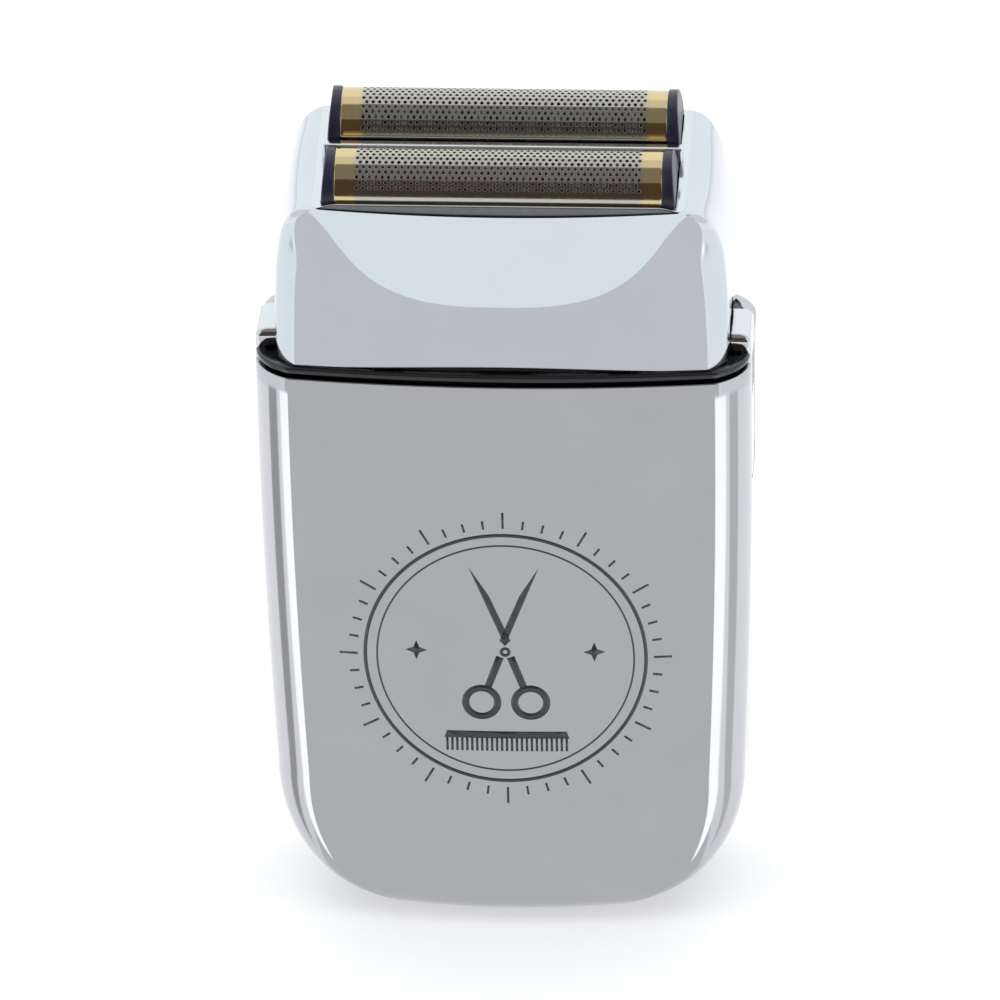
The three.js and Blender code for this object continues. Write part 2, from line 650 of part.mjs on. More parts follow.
function cutter({ y, z }) {
  const bottom = z - CUTTER_DROP;
  const blades = alongX(archOutline(y, z, CUTTER_RADIUS, 0, 0.5), -CUTTER_HALF_LENGTH, CUTTER_HALF_LENGTH, 6);
  const base = box(
    [-CUTTER_HALF_LENGTH + 2, y - CUTTER_HALF_BASE, bottom],
    [CUTTER_HALF_LENGTH - 2, y + CUTTER_HALF_BASE, z],
  );
  const pitch = (2 * CUTTER_HALF_LENGTH) / (SLOTS_PER_CUTTER + 1);
  const slots = [];
  for (let i = 1; i <= SLOTS_PER_CUTTER; i++) {
    const x = -CUTTER_HALF_LENGTH + i * pitch;
    slots.push(box([x - pitch / 4, y - 6, z + 1.2], [x + pitch / 4, y + 6, z + 6]));
  }
  return cut(join(blades, base), ...slots, bar("z", SPIGOT_RADIUS + 0.4, bottom - 1, bottom + 2.6, [0, y], 14));
}

class Helix extends THREE.Curve {
  constructor(x, y, from, to) {
    super();
    this.centre = [x, y];
    this.ends = [from, to];
  }
  getPoint(t, target = new THREE.Vector3()) {
    const angle = t * SPRING_TURNS * 2 * PI;
    return target.set(
      this.centre[0] + SPRING_COIL_RADIUS * Math.cos(angle),
      this.centre[1] + SPRING_COIL_RADIUS * Math.sin(angle),
      THREE.MathUtils.lerp(...this.ends, t),
    );
  }
}

// A coil between the bridge's seat and the cutter's underside.
function cutterSpring({ y, z, deck }) {
  const half = SPRING_WIRE / 2;
  const wire = new THREE.Shape();
  wire.absarc(0, 0, half, 0, 2 * PI, false);
  const path = new Helix(0, y, SPRING_BOTTOM + half + deck - DECK_FRONT, z - CUTTER_DROP - GAP - half);
  return solid(
    new THREE.ExtrudeGeometry(wire, { steps: SPRING_TURNS * 11, extrudePath: path, curveSegments: 3 }),
  );
}

// ---- Head ----
// Everything beyond a plane that leans out from the deck's edge as it goes down: side -1 is the front.
function scoopCutter(side) {
  const deck = side < 0 ? DECK_FRONT : DECK_FRONT + DECK_STEP;
  const rise = 5;
  const drop = 30;
  const far = side * (SCOOP_TOP_Y + 20);
  const shape = new THREE.Shape();
  shape.moveTo(side * (SCOOP_TOP_Y - SCOOP_SLOPE * rise), deck + rise);
  shape.lineTo(far, deck + rise);
  shape.lineTo(far, deck - drop);
  shape.lineTo(side * (SCOOP_TOP_Y + SCOOP_SLOPE * drop), deck - drop);
  return alongX(shape, -40, 40);
}

function headHousing() {
  const lowest = HEAD_LEVELS[0];
  const top = [DECK_FRONT - HEAD_BOTTOM - 1.7, 28.2, 15];
  const inside = [[-1, ...lowest.slice(1)], ...HEAD_LEVELS.slice(0, 5), top];
  const notches = [-1, 1].map((side) => {
    const [near, far] = spanX(side, EAR_INNER_X - BUTTON_TRAVEL - GAP, 40);
    return box([near, BUTTON_FRONT_Y - 1, HEAD_BOTTOM - 1], [far, BUTTON_BACK_Y + 1, BUTTON_TOP + 1]);
  });
  return cut(
    headLoft(0, HEAD_LEVELS),
    headLoft(HEAD_WALL, inside),
    scoopCutter(-1),
    scoopCutter(1),
    box([-40, -20, DECK_FRONT], [40, STEP_Y, 130]),
    box([-WINDOW_HALF_X, -WINDOW_HALF_Y, 100], [WINDOW_HALF_X, WINDOW_HALF_Y, 130]),
    ...notches,
  );
}

// The bright frame round the foils, stepped up at the back like the deck.
function foilFrame() {
  const outerX = WINDOW_HALF_X + FRAME_LIP;
  const outerY = WINDOW_HALF_Y + FRAME_LIP;
  const low = DECK_FRONT + GAP;
  const front = box([-outerX, -outerY, low], [outerX, STEP_Y - GAP, low + FRAME_LIP]);
  const rear = box([-outerX, STEP_Y - GAP - 0.1, low], [outerX, outerY, low + DECK_STEP + FRAME_LIP]);
  const underRear = box([-40, STEP_Y, low - 1], [40, 20, DECK_FRONT + DECK_STEP + GAP]);
  const windows = FOILS.map(({ y }) =>
    box([-CAP_HALF_LENGTH - GAP, y - CAP_RADIUS - 0.15, 100], [CAP_HALF_LENGTH + GAP, y + CAP_RADIUS + 0.15, 130]),
  );
  const web = box([-WINDOW_HALF_X + GAP, -0.9, 104], [WINDOW_HALF_X - GAP, 0.9, FOIL_CENTRE + 2.9]);
  return cut(join(cut(front, ...windows), cut(rear, underRear, ...windows), web));
}

const foil = ({ y, z }) =>
  alongX(
    archOutline(y, z, FOIL_RADIUS, FOIL_RADIUS - FOIL_SHEET, 1.2),
    -FOIL_HALF_LENGTH,
    FOIL_HALF_LENGTH,
    12,
  );

// Dark end caps joined under the foil's edges by two side rails.
function foilCradle({ y, z }) {
  const capInner = FOIL_HALF_LENGTH + GAP;
  const caps = [-1, 1].map((side) =>
    alongX(
      archOutline(y, z, CAP_RADIUS, 0, CRADLE_DROP),
      ...spanX(side, capInner, CAP_HALF_LENGTH),
      8,
    ),
  );
  const rails = [-1, 1].map((side) => {
    const edges = [y + side * (CUTTER_RADIUS + GAP), y + side * FOIL_RADIUS];
    return box(
      [-capInner - 0.5, Math.min(...edges), z - CRADLE_DROP],
      [capInner + 0.5, Math.max(...edges), z - 1.5],
    );
  });
  return join(...caps, ...rails);
}

// ---- Assembly ----
const shaver = new THREE.Group();

function place(name, looks, manifold) {
  const mesh = new THREE.Mesh(geometryOf(manifold), new THREE.MeshStandardMaterial(looks));
  mesh.name = name;
  shaver.add(mesh);
}

place("front_shell", SILVER, halfShell(-1));
place("rear_shell", SILVER, rearShell());
for (const [level, z] of Object.entries(BOSS_HEIGHTS)) {
  place(`${level}_left_shell_screw`, STEEL, shellScrew(-1, z));
  place(`${level}_right_shell_screw`, STEEL, shellScrew(1, z));
}
place("seal_ring", BLACK, sealRing());
place("top_plate", BLACK, topPlate());
place("left_release_button", SILVER, releaseButton(-1));
place("right_release_button", SILVER, releaseButton(1));
place("left_release_spring", STEEL, releaseSpring(-1));
place("right_release_spring", STEEL, releaseSpring(1));

place("battery", BLUE, battery());
place("battery_cradle", BLACK, batteryCradle());
place("left_battery_tab", STEEL, batteryTab(-1));
place("right_battery_tab", STEEL, batteryTab(1));
place("circuit_board", GREEN, circuitBoard());
place("switch_module", BLACK, switchModule());
place("status_led", WHITE, statusLed());
place("light_pipe", GLOW, lightPipe());
place("power_switch", BLACK, powerSwitch());
place("charging_socket", BLACK, chargingSocket());

place("motor_can", STEEL, motorCan());
place("motor_end_cap", BLACK, motorEndCap());
place("motor_shaft", STEEL, motorShaft());
place("eccentric_cam", WHITE, eccentricCam());
place("motor_bracket", STEEL, motorBracket());
place("front_motor_screw", STEEL, smallScrew(0, -MOTOR_SCREW_Y, BRACKET_TOP + GAP, 1, 5.5));
place("rear_motor_screw", STEEL, smallScrew(0, MOTOR_SCREW_Y, BRACKET_TOP + GAP, 1, 5.5));
place("left_bracket_screw", STEEL, smallScrew(-BRACKET_SCREW_X, 0, BRACKET_BOTTOM - GAP, -1, 5));
place("right_bracket_screw", STEEL, smallScrew(BRACKET_SCREW_X, 0, BRACKET_BOTTOM - GAP, -1, 5));

place("oscillating_bridge", WHITE, oscillatingBridge());
place("front_guide_rod", STEEL, guideRod(-1));
place("rear_guide_rod", STEEL, guideRod(1));
for (const row of FOILS) {
  place(`${row.name}_cutter`, STEEL, cutter(row));
  place(`${row.name}_cutter_spring`, BRASS, cutterSpring(row));
}

place("head_housing", SILVER, headHousing());
place("foil_frame", SILVER, foilFrame());
for (const row of FOILS) {
  place(`${row.name}_foil`, GOLD, foil(row));
  place(`${row.name}_foil_cradle`, NAVY, foilCradle(row));
}

export default shaver;
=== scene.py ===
"""The looks of a cordless twin-foil shaver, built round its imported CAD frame.
Shapes are worked out in millimetres."""

import json
import math

import bmesh
import bpy
import numpy as np
from mathutils import Matrix, Vector


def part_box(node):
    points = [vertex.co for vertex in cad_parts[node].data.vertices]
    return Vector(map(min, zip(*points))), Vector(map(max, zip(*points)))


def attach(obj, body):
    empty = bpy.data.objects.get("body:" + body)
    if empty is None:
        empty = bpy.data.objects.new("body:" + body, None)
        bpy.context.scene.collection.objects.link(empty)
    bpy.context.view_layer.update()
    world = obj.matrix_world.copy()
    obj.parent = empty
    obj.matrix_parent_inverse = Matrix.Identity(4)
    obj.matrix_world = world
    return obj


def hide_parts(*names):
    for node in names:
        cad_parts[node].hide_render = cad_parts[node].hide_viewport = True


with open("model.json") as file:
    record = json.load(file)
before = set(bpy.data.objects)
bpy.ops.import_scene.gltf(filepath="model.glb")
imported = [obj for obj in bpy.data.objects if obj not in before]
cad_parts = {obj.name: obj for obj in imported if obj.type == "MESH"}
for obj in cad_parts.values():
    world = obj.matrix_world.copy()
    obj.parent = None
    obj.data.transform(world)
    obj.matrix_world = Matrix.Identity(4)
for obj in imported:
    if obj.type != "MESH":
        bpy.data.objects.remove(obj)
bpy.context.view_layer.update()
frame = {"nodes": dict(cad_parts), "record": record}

MM = 0.001


def box_mm(node):
    """Lowest and highest corner of a CAD node, in millimetres."""
    low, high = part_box(node)
    return low / MM, high / MM


# ---- Sizes read from the frame ----
SHELL_LOW, SHELL_HIGH = box_mm("front_shell")
RING_LOW, RING_HIGH = box_mm("seal_ring")
HEAD_LOW, HEAD_HIGH = box_mm("head_housing")
BUTTON_LOW, BUTTON_HIGH = box_mm("right_release_button")
FOIL_LOW, FOIL_HIGH = box_mm("front_foil")
REAR_FOIL_HIGH = box_mm("rear_foil")[1]
CRADLE_LOW, CRADLE_HIGH = box_mm("front_foil_cradle")
FRAME_HIGH = box_mm("foil_frame")[1]
SOCKET_LOW, SOCKET_HIGH = box_mm("charging_socket")
SWITCH_LOW, SWITCH_HIGH = box_mm("power_switch")
LIGHT_LOW, LIGHT_HIGH = box_mm("light_pipe")

BODY_TOP = SHELL_HIGH.z
BODY_HALF_WIDTH = SHELL_HIGH.x
BODY_HALF_DEPTH = -SHELL_LOW.y
BODY_LOW_HALF_WIDTH = BODY_HALF_WIDTH - 1.6
BODY_FOOT_TOP = 22
FOOT_STRAIGHT = 8
FOOT_POWER = 2.3
FOOT_FILLET = 6
DEPTH_TAPER = 0.5
BODY_CORNER = 6.2
BODY_CREASE = 14  # degrees left between the crowned faces and the corners' arcs
BODY_CROWN = 2.6
WALL = 1.6
FLOOR = 1.8
PARTING = 0.06  # half the seam between the shells
SOCKET_FLANGE = 1.4  # how far the socket's flange stands out from its barrel
LIGHT_FLANGE = 0.8

HEAD_BOTTOM = HEAD_LOW.z
HEAD_HALF_WIDTH = HEAD_HIGH.x
DECK_REAR = HEAD_HIGH.z
DECK_STEP = REAR_FOIL_HIGH.z - FOIL_HIGH.z
DECK_FRONT = DECK_REAR - DECK_STEP
DECK_SLOPE_HALF = 8  # the slope between the two deck levels reaches this far each way from the middle
WINDOW_WALL = 6.2  # how far below the front deck the window's wall stays straight
WINDOW_HALF_X = FRAME_HIGH.x - 0.7
WINDOW_HALF_Y = FRAME_HIGH.y - 0.7

FOIL_Y = abs(FOIL_LOW.y + FOIL_HIGH.y) / 2
FOIL_RADIUS = (FOIL_HIGH.y - FOIL_LOW.y) / 2
FOIL_CENTRE = FOIL_HIGH.z - FOIL_RADIUS
FOIL_HALF_LENGTH = FOIL_HIGH.x
FOIL_LEG = FOIL_CENTRE - FOIL_LOW.z
RING_LOW_EDGE = RING_HIGH.z - 1.3

ROWS = {
    "front": {"y": -FOIL_Y, "z": FOIL_CENTRE},
    "rear": {"y": FOIL_Y, "z": FOIL_CENTRE + DECK_STEP},
}


# ---- Mesh helpers ----
def new_object(name, mesh):
    obj = bpy.data.objects.new(name, mesh)
    bpy.context.scene.collection.objects.link(obj)
    return obj


def mesh_object(name, points, faces, smooth=True):
    """An object from points in millimetres."""
    mesh = bpy.data.meshes.new(name)
    mesh.from_pydata([Vector(p) * MM for p in points], [], faces)
    mesh.update()
    if smooth:
        mesh.shade_smooth()
    return new_object(name, mesh)


def edit(obj, change):
    """Runs change(bm) on the object's mesh."""
    bm = bmesh.new()
    bm.from_mesh(obj.data)
    change(bm)
    bm.to_mesh(obj.data)
    bm.free()
    obj.data.update()


def facing_out(obj):
    edit(obj, lambda bm: bmesh.ops.recalc_face_normals(bm, faces=bm.faces))
    return obj


def applied(obj):
    """Puts the modifiers' result into the mesh."""
    graph = bpy.context.evaluated_depsgraph_get()
    mesh = bpy.data.meshes.new_from_object(obj.evaluated_get(graph))
    obj.modifiers.clear()
    obj.data = mesh
    return obj


def carve(obj, *cutters):
    """Subtracts each cutter and deletes it."""
    for cutter in cutters:
        boolean = obj.modifiers.new("carve", "BOOLEAN")
        boolean.operation = "DIFFERENCE"
        boolean.solver = "EXACT"
        boolean.object = cutter
    applied(obj)
    for cutter in cutters:
        bpy.data.objects.remove(cutter)
    return obj


def bevel(obj, width, segments=3, angle=30):
    modifier = obj.modifiers.new("bevel", "BEVEL")
    modifier.width = width * MM
    modifier.segments = segments
    modifier.limit_method = "ANGLE"
    modifier.angle_limit = math.radians(angle)
    modifier.harden_normals = True
    return obj


def sharp(obj, angle=35):
    obj.data.shade_smooth()
    obj.data.set_sharp_from_angle(angle=math.radians(angle))
    return obj


def crisp_border(obj, chosen):
    """Keeps the shading apart along the border of the chosen faces."""

    def mark(bm):
        for line in bm.edges:
            sides = [chosen(face) for face in line.link_faces]
            if any(sides) and not all(sides):
                line.smooth = False

    edit(obj, mark)


def loft(name, rings, closed=False):
    """Quads through rings of the same number of points: capped at both ends, or closed on itself."""
    count = len(rings[0])
    points = [p for ring in rings for p in ring]
    levels = len(rings) if closed else len(rings) - 1
    faces = []
    for level in range(levels):
        low = level * count
        high = (level + 1) % len(rings) * count
        for i in range(count):
            j = (i + 1) % count
            faces.append((low + i, low + j, high + j, high + i))
    if not closed:
        faces.append(tuple(reversed(range(count))))
        faces.append(tuple(range((len(rings) - 1) * count, len(rings) * count)))
    return facing_out(mesh_object(name, points, faces))


def block(low, high):
    """A box used to carve with."""
    corners = [(x, y, z) for x in (low[0], high[0]) for y in (low[1], high[1]) for z in (low[2], high[2])]
    faces = [(0, 1, 3, 2), (4, 6, 7, 5), (0, 4, 5, 1), (2, 3, 7, 6), (0, 2, 6, 4), (1, 5, 7, 3)]
    return facing_out(mesh_object("carver", corners, faces, smooth=False))


def circle(radius, count):
    turns = [2 * math.pi * i / count for i in range(count)]
    return [(radius * math.cos(angle), radius * math.sin(angle)) for angle in turns]


def turned(name, profile, axis, centre, count=64):
    """A lathed solid: profile points are (radius, place along the axis), from one end to the other."""
    rings = []
    for radius, place in profile:
        ring = []
        for a, b in circle(max(radius, 0.001), count):
            if axis == "z":
                ring.append((centre[0] + a, centre[1] + b, place))
            elif axis == "y":
                ring.append((centre[0] + a, place, centre[1] + b))
            else:
                ring.append((place, centre[0] + a, centre[1] + b))
        rings.append(ring)
    return sharp(loft(name, rings))


def prism(name, outline, axis, start, end):
    """An outline carried along X or Y. Outline points are (y, z) along X and (x, z) along Y."""
    rings = []
    for place in (start, end):
        if axis == "x":
            rings.append([(place, a, b) for a, b in outline])
        else:
            rings.append([(a, place, b) for a, b in outline])
    return sharp(loft(name, rings))


def rounded(low, high, radius, steps=6):
    """A rectangle with round corners, as a list of points."""
    points = []
    centres = [(high[0], low[1]), (high[0], high[1]), (low[0], high[1]), (low[0], low[1])]
    inward = [(-1, 1), (-1, -1), (1, -1), (1, 1)]
    for quarter, (corner, way) in enumerate(zip(centres, inward)):
        cx = corner[0] + way[0] * radius
        cy = corner[1] + way[1] * radius
        for step in range(steps + 1):
            angle = (quarter - 1 + step / steps) * math.pi / 2
            points.append((cx + radius * math.cos(angle), cy + radius * math.sin(angle)))
    return points


def lerp(a, b, t):
    return a + (b - a) * t


def bezier(a, b, c, d, t):
    s = 1 - t
    return s ** 3 * a + 3 * s * s * t * b + 3 * s * t * t * c + t ** 3 * d


# ---- Handle outline ----
def body_half_width(z):
    if z >= BODY_FOOT_TOP:
        up = min((z - BODY_FOOT_TOP) / (BODY_TOP - BODY_FOOT_TOP), 1)
        return lerp(BODY_LOW_HALF_WIDTH, BODY_HALF_WIDTH, 1 - (1 - up) ** 2)
    drop = (BODY_FOOT_TOP - max(z, 0)) / (BODY_FOOT_TOP + 1)
    reach = BODY_LOW_HALF_WIDTH - FOOT_STRAIGHT
    return FOOT_STRAIGHT + reach * (1 - drop ** FOOT_POWER) ** (1 / FOOT_POWER)


def body_half_depth(z):
    low = BODY_HALF_DEPTH - DEPTH_TAPER
    if z >= FOOT_FILLET:
        return low + DEPTH_TAPER * (min(z, BODY_TOP) - FOOT_FILLET) / (BODY_TOP - FOOT_FILLET)
    rise = FOOT_FILLET - max(z, 0)
    return low - FOOT_FILLET + math.sqrt(FOOT_FILLET ** 2 - rise ** 2)


def front_of_body(x, z):
    """Y of the handle's front surface, away from its corners."""
    return -(body_half_depth(z) - BODY_CROWN * (x / body_half_width(z)) ** 2)


def plan(half_width, half_depth, corner, crown, power=2.0, crease=0.0):
    """One level of a casing, anticlockwise from above: round corners, crowned front and back.
    A crease leaves an angle, in degrees, between the front or back face and the corner's arc."""
    corner_steps = 10
    face_steps = 40
    side_steps = 24
    margin = 0.12
    flat = half_depth - crown
    skip = math.radians(crease)
    arc_y = flat - corner * math.cos(skip)
    arc_x = half_width - corner
    edge = arc_x + corner * math.sin(skip)
    inner_edge = edge - margin
    across = [-inner_edge + 2 * inner_edge * step / face_steps for step in range(face_steps + 1)]
    points = []
    for quarter, (side_x, side_y) in enumerate([(1, -1), (1, 1), (-1, 1), (-1, -1)]):
        leaves_face = quarter in (0, 2)
        for step in range(corner_steps + 1):
            start = skip if leaves_face else 0
            end = math.pi / 2 - (0 if leaves_face else skip)
            angle = (quarter - 1) * math.pi / 2 + lerp(start, end, step / corner_steps)
            x = side_x * arc_x + corner * math.cos(angle)
            y = side_y * arc_y + corner * math.sin(angle)
            points.append([x, y])
        if leaves_face:
            for step in range(1, side_steps):
                points.append([side_x * half_width, side_x * lerp(-arc_y, arc_y, step / side_steps)])
        else:
            points += [[-side_x * x, side_y * flat] for x in across]
    for point in points:
        point[1] *= 1 + crown / flat * (1 - abs(point[0] / half_width) ** power)
    return points


def body_plan(z, inset=0.0):
    width = min(body_half_width(z) - inset, body_half_width(z - inset) - inset / 2)
    depth = min(body_half_depth(z) - inset, body_half_depth(z - inset) - inset / 2)
    corner = BODY_CORNER - min(inset, 3)
    return [(x, y, z) for x, y in plan(width, depth, corner, BODY_CROWN, crease=BODY_CREASE)]


def body_levels(bottom):
    fillet = [FOOT_FILLET * (1 - math.cos(math.radians(a))) for a in range(0, 91, 9)]
    foot = [lerp(FOOT_FILLET, BODY_FOOT_TOP, i / 12) for i in range(1, 13)]
    straight = [lerp(BODY_FOOT_TOP, BODY_TOP, i / 24) for i in range(1, 24)]
    return [z for z in fillet + foot + straight if z >= bottom]


def cup():
    """The handle's two shells as one open-topped wall with a small round on its rim."""
    edge = 0.16
    rings = [body_plan(z) for z in body_levels(0)]
    for step in range(5):
        angle = math.pi / 2 * step / 4
        z = BODY_TOP - edge + edge * math.sin(angle)
        inset = edge * (1 - math.cos(angle))
        rings.append([(x, y, z) for x, y, _ in body_plan(BODY_TOP - edge, inset)])
    rings.append([(x, y, BODY_TOP) for x, y, _ in body_plan(BODY_TOP, WALL)])
    rings += [body_plan(z, WALL) for z in reversed(body_levels(FLOOR))]
    rings.append(body_plan(FLOOR, WALL))
    return loft("cup", rings)


def bounds_on(side, near, far):
    return min(side * near, side * far), max(side * near, side * far)


def button_slot(side):
    gap = 0.16
    near, far = bounds_on(side, BUTTON_LOW.x + 1, 40)
    outline = rounded((BUTTON_LOW.y - gap, BUTTON_LOW.z - gap), (BUTTON_HIGH.y + gap, 100), 2.1)
    return facing_out(prism("carver", outline, "x", near, far))


SCREWS = [
    f"{level}_{side}_shell_screw" for level in ("lower", "upper") for side in ("left", "right")
]


def screw_centre(name):
    low, high = box_mm(name)
    return (low.x + high.x) / 2, (low.z + high.z) / 2


def drill(axis, radius, start, end, centre):
    return turned("carver", [(radius, start), (radius, end)], axis, centre, 48)


def shells(look):
    slider_x = 3.3
    slider_half = 3.9
    slider_travel = 4
    slider_low = (SWITCH_LOW.z + SWITCH_HIGH.z) / 2 - slider_half
    slider_high = slider_low + 2 * slider_half + slider_travel
    counterbore = 2.3
    counterbore_y = 10.6
    for name, side in (("front", -1), ("rear", 1)):
        shell = cup()
        shell.name = f"{name}_casing"
        cuts = [
            button_slot(-1),
            button_slot(1),
            drill("z", SOCKET_HIGH.x - SOCKET_FLANGE + 0.15, -1, FLOOR + 1, (0, 0)),
            block((-40, min(-side * 30, side * PARTING), -5), (40, max(-side * 30, side * PARTING), 100)),
        ]
        if side > 0:
            cuts += [drill("y", counterbore, counterbore_y, 20, screw_centre(s)) for s in SCREWS]
            light_z = (LIGHT_LOW.z + LIGHT_HIGH.z) / 2
            cuts.append(drill("y", LIGHT_HIGH.x - LIGHT_FLANGE + 0.12, 10, 20, (0, light_z)))
            outline = rounded((-slider_x, slider_low), (slider_x, slider_high), 1.2)
            cuts.append(facing_out(prism("carver", outline, "y", 10, 20)))
        carve(shell, *cuts)
        sharp(shell, 30)
        finish_piece(shell, "handle", f"{name}_shell", look)


# ---- Seal ring ----
REAR_SEAL_INSET = 1.9  # behind the buttons the seal lies lower and inside the shell's wall


def seal_ring(look):
    top = RING_HIGH.z
    lip_low = top - 0.9
    ledge = top - 0.5
    ledge_inset = 4.3
    skirt_outer, skirt_inner = 1.95, 2.9
    profile = [(0.34, lip_low), (0.18, lip_low + 0.08), (0.12, lip_low + 0.25)]
    for step in range(5):
        angle = math.pi / 2 * step / 4
        profile.append((0.12 + 0.35 * (1 - math.cos(angle)), top - 0.35 + 0.35 * math.sin(angle)))
    profile += [(0.95, top), (1.1, top - 0.05), (1.2, top - 0.35), (1.6, ledge), (ledge_inset, ledge)]
    profile += [(ledge_inset, top - 0.95), (2.95, top - 0.95), (skirt_inner, RING_LOW.z)]
    profile += [(skirt_outer, RING_LOW.z), (skirt_outer, lip_low)]
    rings = []
    for inset, z in profile:
        front = body_plan(BODY_TOP, inset)
        rear = body_plan(BODY_TOP, max(inset, REAR_SEAL_INSET + 0.2 * inset))
        rear_z = z if z < BODY_TOP else BODY_TOP + (z - BODY_TOP) * 0.55
        rings.append([(*a[:2], z) if a[1] < 0 else (*b[:2], rear_z) for a, b in zip(front, rear)])
    ring = loft("black_seal", rings, closed=True)
    slots = []
    for side in (-1, 1):
        near, far = bounds_on(side, 31.1, 40)
        slots.append(block((near, BUTTON_LOW.y - 0.2, 80), (far, BUTTON_HIGH.y + 0.2, 90)))
    carve(ring, *slots)
    sharp(ring)
    finish_piece(ring, "handle", "seal_ring", look)


# ---- Head ----
HEAD_CREASE = 20
HEAD_POWER = 2.75
SCOOP_TOP = WINDOW_HALF_Y + 1.0
SCOOP_SLOPE = 0.13
LIP_BOW = 0.9
HEAD_TOP_HALF_WIDTH = WINDOW_HALF_X + 0.75


def smooth_step(start, end, value):
    t = min(max((value - start) / (end - start), 0), 1)
    return t * t * (3 - 2 * t)


def deck_height(y):
    """The deck slopes up between the front foil and the rear one."""
    return DECK_REAR - DECK_STEP * (1 - smooth_step(-DECK_SLOPE_HALF, DECK_SLOPE_HALF, y))


def lip_bow(x, y):
    """The front and rear edges of the deck dip towards the middle."""
    if abs(y) < WINDOW_HALF_Y - 1:
        return 0
    return LIP_BOW * (1 - min(abs(x) / WINDOW_HALF_X, 1) ** 2)


def head_profile():
    """Half width, half depth and crown against height, as a share of the way up to the deck."""
    curve = {
        "width": [(HEAD_HALF_WIDTH, 0), (30.95, 0.42), (31.2, 1.0), (HEAD_TOP_HALF_WIDTH, 1)],
        "depth": [(14.1, 0), (15.3, 0.433), (15.9, 0.767), (SCOOP_TOP + 0.9, 1)],
        "crown": [(1.4, 0), (2.6, 0.3), (5.0, 0.68), (0.9, 1)],
    }
    table = {}
    for name, ends in curve.items():
        ts = np.linspace(0, 1, 300)
        table[name] = (
            [bezier(*[end[1] for end in ends], t) for t in ts],
            [bezier(*[end[0] for end in ends], t) for t in ts],
        )
    return table


def head_housing(look):
    table = head_profile()

    def level(share, inset=0.0):
        width, depth, crown = (float(np.interp(share, *table[name])) for name in ("width", "depth", "crown"))
        corner = lerp(4.5, 1.3, smooth_step(0.62, 1, share))
        if inset:
            inner = (min(width - inset, 27.6), min(depth - inset, WINDOW_HALF_Y))
            inner_crown = lerp(1.2, 0.3, smooth_step(0.25, 0.5, share))
            return plan(*inner, 3, inner_crown, HEAD_POWER, HEAD_CREASE)
        return plan(width, depth, corner, crown, HEAD_POWER, HEAD_CREASE)

    def raised(points, share):
        return [(x, y, lerp(HEAD_BOTTOM, deck_height(y) - share * lip_bow(x, y), share)) for x, y in points]

    shares = [1 - (1 - i / 36) ** 1.7 for i in range(37)]
    rings = [raised(level(share), share) for share in shares]
    window = []
    for x, y, _ in rings[-1]:
        wx = max(-WINDOW_HALF_X, min(WINDOW_HALF_X, x))
        wy = max(-WINDOW_HALF_Y, min(WINDOW_HALF_Y, y))
        if abs(wx) < WINDOW_HALF_X and abs(wy) < WINDOW_HALF_Y:
            wy = math.copysign(WINDOW_HALF_Y, y)
        window.append((wx, wy))
    rings.append([(x, y, deck_height(y) - lip_bow(x, y)) for x, y in window])
    rings.append([(x, y, DECK_FRONT - WINDOW_WALL) for x, y in window])
    for share in (0.7, 0.5, 0.25):
        z = lerp(HEAD_BOTTOM, DECK_FRONT, share)
        rings.append([(x, y, z) for x, y in level(share, 1.6)])
    rings.append([(x, y, HEAD_BOTTOM + 0.3) for x, y in level(0, 1.6)])
    head = loft("head_casing", rings, closed=True)
    planes = []
    for side, deck in ((-1, DECK_FRONT), (1, DECK_REAR)):
        planes.append((Vector((0, side * SCOOP_TOP, deck)) * MM, Vector((0, side, SCOOP_SLOPE)).normalized()))

    def scoop(bm):
        for place, normal in planes:
            geometry = bm.verts[:] + bm.edges[:] + bm.faces[:]
            cut = bmesh.ops.bisect_plane(
                bm, geom=geometry, plane_co=place, plane_no=normal, clear_outer=True, dist=1e-7
            )
            edges = [e for e in cut["geom_cut"] if isinstance(e, bmesh.types.BMEdge)]
            bmesh.ops.contextual_create(bm, geom=edges)
        bmesh.ops.recalc_face_normals(bm, faces=bm.faces)

    edit(head, scoop)
    notches = []
    for side in (-1, 1):
        near, far = bounds_on(side, BUTTON_HIGH.x - 4.7, 40)
        outline = rounded((BUTTON_LOW.y - 0.8, 70), (BUTTON_HIGH.y + 0.8, BUTTON_HIGH.z + 1), 2.2)
        notches.append(facing_out(prism("carver", outline, "x", near, far)))
    carve(head, *notches)
    sharp(head, 30)

    def in_scoop(face):
        middle = face.calc_center_median()
        return any(
            abs((middle - place).dot(normal)) < 0.002 * MM and face.normal.dot(normal) > 0.9999
            for place, normal in planes
        )

    crisp_border(head, in_scoop)
    finish_piece(head, "head", "head_housing", look)


